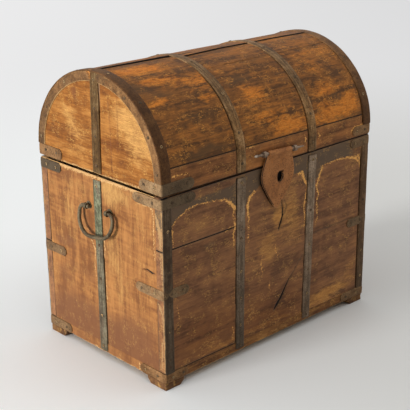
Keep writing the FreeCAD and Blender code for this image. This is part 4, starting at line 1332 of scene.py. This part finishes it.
class Shader:
    """Builds the nodes of a material or a world, step by step. Sizes are in millimetres."""

    def __init__(self, owner):
        owner.use_nodes = True
        self.tree = owner.node_tree
        self.tree.nodes.clear()

    def add(self, kind, inputs=None, output=0, **settings):
        """Adds a node and returns one of its outputs."""
        node = self.tree.nodes.new(kind)
        for key, value in settings.items():
            setattr(node, key, value)
        for key, value in (inputs or {}).items():
            if isinstance(value, Wire):
                self.tree.links.new(value.socket, node.inputs[key])
            else:
                node.inputs[key].default_value = value
        return Wire(self, node.outputs[output]) if node.outputs else None

    def beside(self, wire, output):
        """Another output of the node that a wire comes from."""
        return Wire(self, wire.socket.node.outputs[output])

    @functools.cached_property
    def place(self):
        return self.add("ShaderNodeTexCoord", output="Object")

    def noise(self, size, detail, roughness, distortion, seed):
        sizes = (size,) * 3 if np.isscalar(size) else size
        at = self.add("ShaderNodeMapping", {"Vector": self.place, "Scale": [1 / (s * MM) for s in sizes],
                                            "Location": (seed * 3.7, seed * 1.3, seed * 2.9)})
        return self.add("ShaderNodeTexNoise", {"Vector": at, "Scale": 1.0, "Detail": detail,
                                               "Roughness": roughness, "Distortion": distortion})

    def value(self, name):
        return self.add("ShaderNodeAttribute", output="Fac", attribute_name=name)

    def ramp(self, value, low, high):
        return self.add("ShaderNodeMapRange", {"Value": value, "From Min": low, "From Max": high},
                        interpolation_type="SMOOTHSTEP")

    def math(self, operation, a, b=0.0):
        return self.add("ShaderNodeMath", {0: a, 1: b}, operation=operation)

    def larger(self, a, b):
        return self.math("MAXIMUM", a, b)

    def mix(self, amount, a, b, blend="MIX"):
        a, b = (value if isinstance(value, Wire) else (*value, 1.0) for value in (a, b))
        return self.add("ShaderNodeMix", {0: amount, 6: a, 7: b}, output=2, data_type="RGBA",
                        blend_type=blend, clamp_factor=True)

    def seen(self):
        """1 for what the camera sees, also through glass and in a gloss, and 0 for what lights."""
        seen = camera_ray = self.add("ShaderNodeLightPath", output="Is Camera Ray")
        for ray in ("Is Glossy Ray", "Is Transmission Ray"):
            seen = self.larger(seen, self.beside(camera_ray, ray))
        return seen

    def finish(self, colour, roughness, height, depth, metallic=0.0, specular=0.5):
        bump = self.add("ShaderNodeBump", {"Height": height, "Distance": depth * MM, "Strength": 1.0})
        surface = self.add("ShaderNodeBsdfPrincipled", {
            "Base Color": colour, "Roughness": roughness, "Metallic": metallic, "Normal": bump,
            "Specular IOR Level": specular})
        self.add("ShaderNodeOutputMaterial", {"Surface": surface})


WHITE = (1.0, 1.0, 1.0)
FIBRE_SHADE = (0.45, 0.42, 0.40)
RAW_WOOD = (0.52, 0.31, 0.13)
FLAKE = (0.98, 0.50, 0.145)
END_GRAIN = (0.36, 0.215, 0.095)
GOLDEN = (0.66, 0.39, 0.10)
RUST_BROWN = ((0.13, 0.060, 0.021), (0.27, 0.135, 0.052))
VERDIGRIS = ((0.085, 0.088, 0.050), (0.23, 0.235, 0.145))
SOOT = (0.035, 0.028, 0.020)
NEAR_BLACK = (0.012, 0.008, 0.006)
DIMMED = (0.72, 0.62, 0.50)


def shaded(colour, shares):
    return tuple(part * share for part, share in zip(colour, shares))


def wood(name, grain, dark, mid, light, bright, grime, speckle=0.10, raw=RAW_WOOD, streak=1.0, curl=0.0,
         mottle=0.2, fibre=0.5, gold=0.6, seed=0):
    """Oiled old wood: streaks and fibres along the grain, blotches, golden specks and veins where the
    finish has rubbed through, which also stand as painted highlights for glints of the oil, and the
    marks that the mesh carries, painted shade among them. Colours run from the darkest streak up."""
    material = bpy.data.materials.new(name)
    sh = Shader(material)

    def along(length, width, *settings):
        return sh.noise(lengthwise(grain, length, width), *settings)

    streaks = along(150, 9, 5, 0.6, 0.6, seed)
    broad = along(170, 34, 3, 0.5, 0.8, seed + 1)
    fibres = along(26, 1.5, 3, 0.6, 0.2, seed + 2)
    blotch = sh.noise(38, 5, 0.62, 0.5, seed + 3)
    flecks = along(19, 7, 5, 0.7, 0.9, seed + 9) - 0.5
    tone = streaks * (0.5 * streak) + broad * 0.5 + (blotch - 0.5) * 0.45
    if curl:
        tone = tone + (along(7, 60, 3, 0.5, 0.7, seed + 4) - 0.5) * curl
    tone = tone + flecks * mottle
    middle = 0.25 + 0.25 * streak
    colour = sh.mix(sh.ramp(tone, middle - 0.12, middle + 0.02), dark, mid)
    colour = sh.mix(sh.ramp(tone, middle, middle + 0.16), colour, light)
    glow = sh.value("bright") + (streaks - 0.5) * 1.2 + flecks * (2.5 * mottle)
    mottled = sh.mix(sh.ramp(flecks, -0.16, 0.12), shaded(bright, (0.62, 0.55, 0.6)), bright)
    mottled = sh.mix(min(1.0, 2.0 * mottle), bright, mottled)
    colour = sh.mix(sh.ramp(glow, 0.15, 1.0), colour, mottled)
    fibre_tone = sh.mix(sh.ramp(fibres, 0.25, 0.75), FIBRE_SHADE, WHITE)
    colour = sh.mix(fibre, colour, fibre_tone, "MULTIPLY")
    colour = sh.mix(sh.value("dim"), colour, DIMMED, "MULTIPLY")
    soot = sh.ramp(sh.value("grime") + (blotch - 0.5) * 0.9, 0.2, 1.1) * 0.85
    colour = sh.mix(soot, colour, grime)

    where = sh.noise(24, 3, 0.6, 0.0, seed + 6)
    golden = where + sh.value("bright") * 0.12
    veins = sh.math("ABSOLUTE", along(17, 7, 4, 0.65, 0.8, seed + 5) - 0.5)
    veins = sh.ramp(veins, 0.026, 0.006) * sh.ramp(golden, 0.50, 0.62)
    specks = sh.ramp(along(5.0, 2.4, 2, 0.5, 0.3, seed + 8), 0.72 - speckle, 0.78 - speckle)
    # Specks and veins of rubbed-through finish, which are also painted glints of the oil.
    rubbed = sh.larger(specks * sh.ramp(golden, 0.44, 0.62), veins * 0.8)
    colour = sh.mix(rubbed * gold, colour, sh.mix(0.4, bright, GOLDEN))

    uneven = sh.noise(2.6, 3, 0.6, 0.0, seed + 7) - 0.5
    flaked = sh.value("flaked") + uneven * 0.75 + (flecks + 0.02) * 0.25
    core = sh.ramp(flaked, 0.50, 0.56)
    chipped = sh.ramp(sh.value("worn") * 0.62 + uneven * 0.9 + where * 0.35, 0.62, 0.72)
    pale = sh.larger(sh.ramp(flaked, 0.485, 0.515), chipped)
    bare = sh.mix(sh.larger(core, chipped), shaded(raw, (0.60, 0.50, 0.42)), raw)
    bare = sh.mix(0.3, bare, fibre_tone, "MULTIPLY")
    bare = sh.mix(sh.value("turned"), bare, END_GRAIN)
    colour = sh.mix(pale * 0.9, colour, bare)
    # The mesh's cracks, dark joints and painted shade: a soft darker rim, then near black.
    crack_and_shade_mask = sh.value("cracked") + uneven * 0.05
    colour = sh.mix(sh.ramp(crack_and_shade_mask, 0.34, 0.5) * 0.45, colour, grime)
    crack_and_shade_mask = sh.ramp(crack_and_shade_mask, 0.485, 0.51)
    colour = sh.mix(crack_and_shade_mask, colour, NEAR_BLACK)

    height = fibres * 0.35 + streaks * 0.5 + sh.larger(pale, rubbed) * -0.35 + crack_and_shade_mask * -1.2
    sh.finish(colour, 0.46 + blotch * 0.25 + pale * 0.25, height, 0.55, specular=0.12)
    return material


def iron(name, dark, mid, light, rust, green=0.0, edge=(0.34, 0.24, 0.15), metallic=0.25, pits=1.0,
         drawn=None, shine=0.1, seed=0):
    """Old flat iron: a brown and grey skin, pits, rust, and a bloom of verdigris where it is asked for.
    drawn is the size of the streaks left by hammering along a strap."""
    material = bpy.data.materials.new(name)
    sh = Shader(material)
    cloud = sh.noise(30, 5, 0.6, 0.4, seed)
    fine = sh.noise(4.5, 4, 0.6, 0.2, seed + 1)
    pit = sh.noise(1.6, 2, 0.5, 0.0, seed + 2)
    tone = cloud * 0.6 + fine * 0.4
    if drawn:
        tone = tone + (sh.noise(drawn, 3, 0.5, 0.3, seed + 5) - 0.5) * 0.55
    colour = sh.mix(sh.ramp(tone, 0.38, 0.54), dark, mid)
    colour = sh.mix(sh.ramp(tone, 0.52, 0.66), colour, light)
    red = sh.ramp(sh.noise(11, 4, 0.65, 0.5, seed + 3), 0.56, 0.70)
    colour = sh.mix(red * 0.75, colour, rust)
    if green:
        bloom = sh.ramp(sh.noise((30, 30, 60), 4, 0.6, 0.3, seed + 4) + fine * 0.25, 0.46, 0.66)
        share = sh.ramp(sh.add("ShaderNodeSeparateXYZ", {0: sh.place}, output=2), 0.19, 0.29)
        bloom = bloom * (0.25 + share * green)
        colour = sh.mix(bloom, colour, sh.mix(sh.ramp(tone, 0.4, 0.62), *VERDIGRIS))
    colour = sh.mix(sh.value("warm") * 0.85, colour, sh.mix(sh.ramp(tone, 0.4, 0.6), *RUST_BROWN))
    colour = sh.mix(sh.value("dull") * 0.8, colour, SOOT)
    rubbed = sh.ramp(sh.value("worn") * 0.6 + fine * 0.7, 0.72, 0.92)
    colour = sh.mix(rubbed * 0.6, colour, edge)
    colour = sh.mix(sh.ramp(pit, 0.30, 0.42), NEAR_BLACK, colour)
    # Near black where the mesh carries dark marks and painted shade.
    colour = sh.mix(sh.ramp(sh.value("cracked"), 0.47, 0.52) * 0.8, colour, NEAR_BLACK)
    sh.finish(colour, 0.42 + fine * 0.3, fine * 0.5 + pit * (0.25 * pits), 0.6, metallic=metallic,
              specular=shine)
    return material


# Each wood: the axis of its grain, its colours (dark, mid, light, bright, grimy) and its settings.
WOODS = {
    "front": (0, (0.15, 0.066, 0.031), (0.26, 0.115, 0.050), (0.35, 0.160, 0.062), (0.62, 0.29, 0.076),
              (0.104, 0.072, 0.045), dict(raw=FLAKE, streak=0.8, mottle=0.32, seed=1)),
    "end": (2, (0.20, 0.075, 0.023), (0.31, 0.128, 0.038), (0.41, 0.180, 0.054), (0.50, 0.265, 0.082),
            (0.15, 0.060, 0.026),
            dict(raw=(0.62, 0.37, 0.155), streak=0.7, curl=0.35, mottle=0.3, gold=0.4, seed=5)),
    "lid_end": (1, (0.18, 0.058, 0.010), (0.29, 0.104, 0.017), (0.42, 0.175, 0.038), (0.59, 0.305, 0.086),
                (0.14, 0.046, 0.015), dict(curl=0.12, mottle=0.35, fibre=0.75, seed=9)),
    "dome": (0, (0.110, 0.046, 0.015), (0.24, 0.093, 0.023), (0.38, 0.142, 0.031), (0.76, 0.255, 0.034),
             (0.105, 0.054, 0.022), dict(speckle=0.125, raw=FLAKE, streak=1.2, mottle=0.6, seed=13)),
    "rail": (0, (0.14, 0.055, 0.020), (0.27, 0.108, 0.036), (0.43, 0.168, 0.048), (0.64, 0.27, 0.066),
             (0.11, 0.062, 0.031), dict(raw=FLAKE, streak=0.9, seed=17)),
    "back": (0, (0.16, 0.072, 0.035), (0.26, 0.116, 0.052), (0.34, 0.155, 0.066), (0.48, 0.24, 0.080),
             (0.13, 0.080, 0.045), dict(streak=0.9, seed=21)),
    "base": (0, (0.12, 0.048, 0.018), (0.22, 0.092, 0.030), (0.31, 0.138, 0.042), (0.56, 0.28, 0.072),
             (0.12, 0.062, 0.030), dict(speckle=0.12, streak=0.8, mottle=0.35, seed=25)),
    "foot": (0, (0.085, 0.038, 0.015), (0.15, 0.068, 0.026), (0.22, 0.110, 0.040), (0.40, 0.22, 0.060),
             (0.08, 0.040, 0.018), dict(raw=(0.34, 0.185, 0.060), streak=0.8, mottle=0.35, seed=27)),
    "inside": (0, (0.17, 0.088, 0.045), (0.27, 0.15, 0.078), (0.36, 0.21, 0.11), (0.45, 0.28, 0.14),
               (0.10, 0.060, 0.035), dict(speckle=0.03, seed=29)),
}
ACROSS_X = (3.5, 70.0, 70.0)
ACROSS_Y = (70.0, 3.5, 70.0)
# Each iron: its colours (dark, mid, light, rust) and its settings.
IRONS = {
    "strap": ((0.150, 0.102, 0.064), (0.275, 0.192, 0.125), (0.41, 0.307, 0.210), (0.24, 0.112, 0.048),
              dict(drawn=ACROSS_X, seed=1)),
    "brace": ((0.15, 0.092, 0.045), (0.26, 0.165, 0.083), (0.35, 0.240, 0.130), (0.27, 0.128, 0.052),
              dict(seed=3)),
    "corner": ((0.055, 0.033, 0.018), (0.103, 0.065, 0.037), (0.160, 0.112, 0.070), (0.11, 0.046, 0.018),
               dict(drawn=ACROSS_X, seed=5)),
    "green": ((0.070, 0.050, 0.032), (0.130, 0.096, 0.062), (0.195, 0.155, 0.106), (0.13, 0.068, 0.034),
              dict(green=0.8, drawn=ACROSS_Y, seed=9)),
    "dome": ((0.12, 0.060, 0.021), (0.27, 0.146, 0.056), (0.50, 0.300, 0.140), (0.26, 0.100, 0.028),
             dict(drawn=ACROSS_X, seed=13)),
    "rim": ((0.060, 0.027, 0.009), (0.170, 0.082, 0.028), (0.330, 0.185, 0.078), (0.14, 0.052, 0.012),
            dict(edge=(0.50, 0.30, 0.12), metallic=0.1, seed=17)),
    "lid_end": ((0.055, 0.027, 0.008), (0.105, 0.056, 0.018), (0.180, 0.116, 0.054), (0.10, 0.043, 0.014),
                dict(metallic=0.2, drawn=ACROSS_Y, seed=19)),
    "band": ((0.045, 0.018, 0.006), (0.080, 0.033, 0.010), (0.125, 0.056, 0.018), (0.13, 0.048, 0.012),
             dict(edge=(0.24, 0.12, 0.04), metallic=0.1, seed=21)),
    "hasp": ((0.25, 0.100, 0.036), (0.38, 0.156, 0.053), (0.47, 0.208, 0.076), (0.42, 0.150, 0.038),
             dict(metallic=0.1, pits=1.4, seed=25)),
    "handle": ((0.045, 0.030, 0.014), (0.120, 0.090, 0.048), (0.23, 0.185, 0.112), (0.085, 0.038, 0.016),
               dict(edge=(0.28, 0.22, 0.13), metallic=0.4, shine=0.3, seed=29)),
    "nail": ((0.060, 0.038, 0.022), (0.11, 0.070, 0.038), (0.19, 0.125, 0.070), (0.17, 0.074, 0.026),
             dict(edge=(0.70, 0.46, 0.20), metallic=0.2, seed=33)),
    "bright": ((0.15, 0.095, 0.060), (0.26, 0.185, 0.125), (0.42, 0.33, 0.24), (0.22, 0.105, 0.055),
               dict(edge=(0.78, 0.68, 0.55), metallic=0.5, shine=0.4, seed=37)),
}


# ---- the whole trunk -------------------------------------------------------------------------------
def seam_line(height, seed):
    """A joint that wanders a little."""
    def line(u):
        spots = np.stack([u, 0 * u, 0 * u + height], axis=-1)
        return height + 0.5 * noise(spots, 70, seed)
    return line


def opened(narrow, wide, low, high):
    """The rounding along a joint: narrow, and wide past the places from low to high."""
    return lambda u: narrow + (wide - narrow) * smooth(u, low, high)


# Steps of the boards' meshes, which are finer where they show in the main view.
FRONT_STEP = 2.0
FINE_STEP = 2.2
BACK_STEP = 2.8
LID_BACK_STEP = 3.0
END_STEP = {-1: 2.0, 1: 2.8}
LEFT_BAY = (-98, -112)        # where the front's joints open to the left
RIGHT_BAY = (100, 122)        # and to the right
KEYHOLE_HALF = 2.8
KEYHOLE_LOW = 339.4
KEYHOLE_HIGH = 351.4


def walls(woods):
    low_seam = seam_line(FRONT_SEAM_LOW, 1)
    high_seam = seam_line(FRONT_SEAM_HIGH, 2)
    low_gap = opened(0.1, 0.42, *RIGHT_BAY)
    high_gap = opened(0.1, 1.0, *LEFT_BAY)
    case_low, case_high = extent("lock_case")
    pocket = (case_low - (0, 0, 0.2), case_high + (0, 20, 5))
    keyhole = ((HASP_X - KEYHOLE_HALF, -HALF_D - 5, KEYHOLE_LOW),
               (HASP_X + KEYHOLE_HALF, case_low[1] + 1, KEYHOLE_HIGH))
    front = (
        ("lower", BASE_TOP, low_seam, (opened(0.2, 0.8, *LEFT_BAY), low_gap), {}),
        ("middle", low_seam, high_seam, (low_gap, high_gap), {}),
        ("upper", high_seam, BODY_TOP, (high_gap, 0.9), dict(lip="high", cutters=(pocket, keyhole))),
    )
    for name, low, high, gaps, options in front:
        board(f"front_board_{name}", "trunk", "front_wood", [woods["front"], woods["inside"]],
              wall_place(-1), (-HALF_W, HALF_W), low, high, 0, face="front", gaps=gaps, worn="side",
              step=FRONT_STEP, seed=1, **options)

    back_seam = seam_line(BACK_SEAM, 3)
    back = (
        ("lower", BASE_TOP, back_seam, (.9, .8), "side"),
        ("upper", back_seam, BODY_TOP, (.8, .9), "side high"),
    )
    for name, low, high, gaps, worn in back:
        board(f"back_board_{name}", "trunk", "back_wood", [woods["back"], woods["inside"]],
              wall_place(1), (-HALF_W, HALF_W), low, high, 0, face="back", gaps=gaps, worn=worn,
              step=BACK_STEP, seed=3)

    for side, end in ENDS:
        for depth, span in (("front", (-INNER_D, END_SEAM)), ("back", (END_SEAM, INNER_D))):
            board(f"{end}_end_board_{depth}", "trunk", "end_wood", [woods["end"], woods["inside"]],
                  end_place(side), span, BASE_TOP, BODY_TOP, 2, face=end, gaps=(.4, 3.8), corner=0.5,
                  step=END_STEP[side], worn="high rim", seed=5 + side)


# Where the two crown staves meet, as (places along the trunk, places along the arch).
CROWN_JOINT = ((-280, -97, -79, 20, 160, 280), (6, 6, -14, -8, -8, -12))
CROWN_PROUD = 1.9
JOINT = 0.8
TIGHT_JOINT = 0.35


def lid(woods):
    shared = dict(place=lid_place, span=(-HALF_W, HALF_W), grain=0, face="lid", seed=2)

    def crown_joint(x):
        return np.interp(x, *CROWN_JOINT)

    def rim(x):
        return S_RIM + sag(x)

    staves = (
        ("shoulder_front", -S_RAIL_SEAM, -S_CROWN_SEAM, (JOINT, TIGHT_JOINT), FINE_STEP, 0.0),
        ("crown_front", -S_CROWN_SEAM, crown_joint, (TIGHT_JOINT, 0.5), FINE_STEP, 0.0),
        ("crown_back", crown_joint, S_CROWN_SEAM, (0.5, TIGHT_JOINT), FINE_STEP, CROWN_PROUD),
        ("shoulder_back", S_CROWN_SEAM, S_RAIL_SEAM, (TIGHT_JOINT, JOINT), LID_BACK_STEP, 0.0),
    )
    for name, low, high, gaps, step, proud in staves:
        board(f"stave_{name}", "lid", "dome_wood", [woods["dome"], woods["inside"]], low=low, high=high,
              gaps=gaps, proud=proud, step=step, **shared)
    plate_low, plate_high = extent("strike_plate")
    pocket = (plate_low - (0, 0, 20), plate_high + (0, 0, 0.2))
    slot = (plate_low + (11, 3.5, 0), plate_high + (-11, -1.5, 6.0))
    rails = (
        ("front", lambda x: -rim(x), -S_RAIL_SEAM, "low", FINE_STEP, (pocket, slot)),
        ("back", S_RAIL_SEAM, rim, "high", LID_BACK_STEP, ()),
    )
    for name, low, high, lip, step, cutters in rails:
        board(f"lid_rail_{name}", "lid", "rail_wood", [woods["rail"], woods["inside"]], low=low, high=high,
              gaps=(JOINT, JOINT), step=step, worn="side", lip=lip, cutters=cutters, **shared)
    reach = LID_HALF - BOARD
    for side, end in ENDS:
        board(f"lid_end_{end}", "lid", "end_wood", [woods["lid_end"], woods["inside"]],
              lid_end_place(side), (-reach, reach), RIM_Z - sag(side * HALF_W),
              lambda y: arch_height(y, BOARD), 1, face=end, gaps=(1.0, 0.4), corner=0.4,
              step=END_STEP[side], worn="low", seed=7 + side)


def feet(material):
    for side, end in ENDS:
        for _, depth in DEPTHS:
            foot(f"foot_{depth}_{end}", side, material)


def ironwork(irons):
    front_straps(irons["strap"])
    upright_straps(irons["corner"], irons["green"], irons["lid_end"])
    braces(irons["brace"])
    lid_straps(irons["dome"])
    hinge_straps(irons["strap"])
    lid_bands(irons["band"], irons["rim"])
    bails(irons["handle"])
    hasp(irons["hasp"])
    hasp_pin(irons["bright"])
    nail_heads(irons["nail"])


# Solids of the frame whose shape is right, with their iron.
KEPT = {"handle_eyes_left": "handle", "handle_eyes_right": "handle", "hasp_eyes": "bright",
        "keyhole_rim": "corner", "hinge_pin_left": "handle", "hinge_pin_right": "handle",
        "lock_case": "corner", "lock_bolt": "bright", "strike_plate": "corner"}


def kept_solids(irons):
    for node, finish in KEPT.items():
        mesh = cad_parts[node].data
        mesh.materials.clear()
        mesh.materials.append(irons[finish])


# ---- floor, light and camera -------------------------------------------------------------------------
ROOM = (0.76, 0.76, 0.76)
FLOOR_HALF = 30.0


def floor():
    """Pale paper that takes the shadow, and further off turns into the backdrop."""
    mesh = bpy.data.meshes.new("floor")
    corners = [(x * FLOOR_HALF, y * FLOOR_HALF, 0) for x, y in ((-1, -1), (1, -1), (1, 1), (-1, 1))]
    mesh.from_pydata(corners, [], [(0, 1, 2, 3)])
    placed("floor", mesh)
    material = bpy.data.materials.new("floor_paper")
    sh = Shader(material)
    x = sh.add("ShaderNodeSeparateXYZ", {0: sh.place})
    across = x * 0.73 + sh.beside(x, 1) * -0.68
    far = sh.add("ShaderNodeVectorMath", {0: sh.place}, output="Value", operation="LENGTH")
    # Backdrop and paper darken from left to right across the view: painted shade of the light falling off.
    backdrop = sh.mix(sh.ramp(across, -1.4, 1.6), (0.83, 0.83, 0.835), (0.71, 0.71, 0.715))
    backdrop = sh.mix(sh.ramp(far, 4.0, 12.0), backdrop, ROOM)
    shade = sh.mix(sh.ramp(across, -0.38, 0.5), (0.97, 0.99, 0.99), (0.71, 0.71, 0.69))
    paper = sh.add("ShaderNodeBsdfDiffuse", {"Color": shade})
    plain = sh.add("ShaderNodeEmission", {"Color": backdrop})
    mixed = sh.add("ShaderNodeMixShader", {0: sh.ramp(far, 0.75, 2.5) * sh.seen(), 1: paper, 2: plain})
    sh.add("ShaderNodeOutputMaterial", {"Surface": mixed})
    mesh.materials.append(material)


def turned_object(name, data, side, above, back, place=(0, 0, 0)):
    """An object with its axes along three directions: a lamp or a camera looks away from back."""
    made = placed(name, data)
    made.matrix_world = Matrix([[side[k], above[k], back[k], place[k]] for k in range(3)] + [[0, 0, 0, 1]])
    return made


# Each sun: where it shines from, its strength and how far it spreads, in degrees.
SUNS = {
    "low_from_the_left": ((-1.0, 0.17, 0.11), 4.5, 20.0),
    "above": ((0.0, 0.0, 1.0), 1.6, 100.0),
    "fill": ((0.75, -0.6, 0.3), 0.3, 40.0),
}
AMBIENT = 0.18
AMBIENT_TINT = (1.0, 0.985, 0.96, 1.0)


def lights():
    for name, (place, strength, spread) in SUNS.items():
        sun = bpy.data.lights.new(name, "SUN")
        sun.energy = strength
        sun.angle = math.radians(spread)
        back = unit(np.array(place))
        side = unit(np.cross((0, 1, 0) if abs(back[2]) > 0.99 else (0, 0, 1), back))
        turned_object(name, sun, side, np.cross(back, side), back)
    world = bpy.data.worlds.new("room")
    bpy.context.scene.world = world
    sh = Shader(world)
    fill = sh.add("ShaderNodeBackground", {"Color": AMBIENT_TINT, "Strength": AMBIENT})
    shown = sh.add("ShaderNodeBackground", {"Color": (*ROOM, 1.0)})
    both = sh.add("ShaderNodeMixShader", {0: sh.seen(), 1: fill, 2: shown})
    sh.add("ShaderNodeOutputWorld", {"Surface": both})


CAMERA_PLACE = (-1.3950, -1.4703, 0.9885)
CAMERA_YAW = 0.7544
CAMERA_PITCH = 0.3524
CAMERA_ROLL = -0.0104
CAMERA_LENS = 93.78
SENSOR = 36.0


def camera():
    data = bpy.data.cameras.new("camera")
    data.sensor_width = SENSOR
    data.lens = CAMERA_LENS
    forward = np.array((math.sin(CAMERA_YAW) * math.cos(CAMERA_PITCH),
                        math.cos(CAMERA_YAW) * math.cos(CAMERA_PITCH), -math.sin(CAMERA_PITCH)))
    right = np.array((math.cos(CAMERA_YAW), -math.sin(CAMERA_YAW), 0.0))
    above = np.cross(right, forward)
    side = right * math.cos(CAMERA_ROLL) + above * math.sin(CAMERA_ROLL)
    above = above * math.cos(CAMERA_ROLL) - right * math.sin(CAMERA_ROLL)
    bpy.context.scene.camera = turned_object("camera", data, side, above, -forward, CAMERA_PLACE)


camera()
lights()
floor()
woods = {key: wood(f"{key}_wood", *row[:-1], **row[-1]) for key, row in WOODS.items()}
irons = {key: iron(f"{key}_iron", *row[:-1], **row[-1]) for key, row in IRONS.items()}
walls(woods)
lid(woods)
plinth([woods["base"], woods["end"]])
feet(woods["foot"])
ironwork(irons)
kept_solids(irons)
bpy.context.scene.view_settings.view_transform = "Standard"
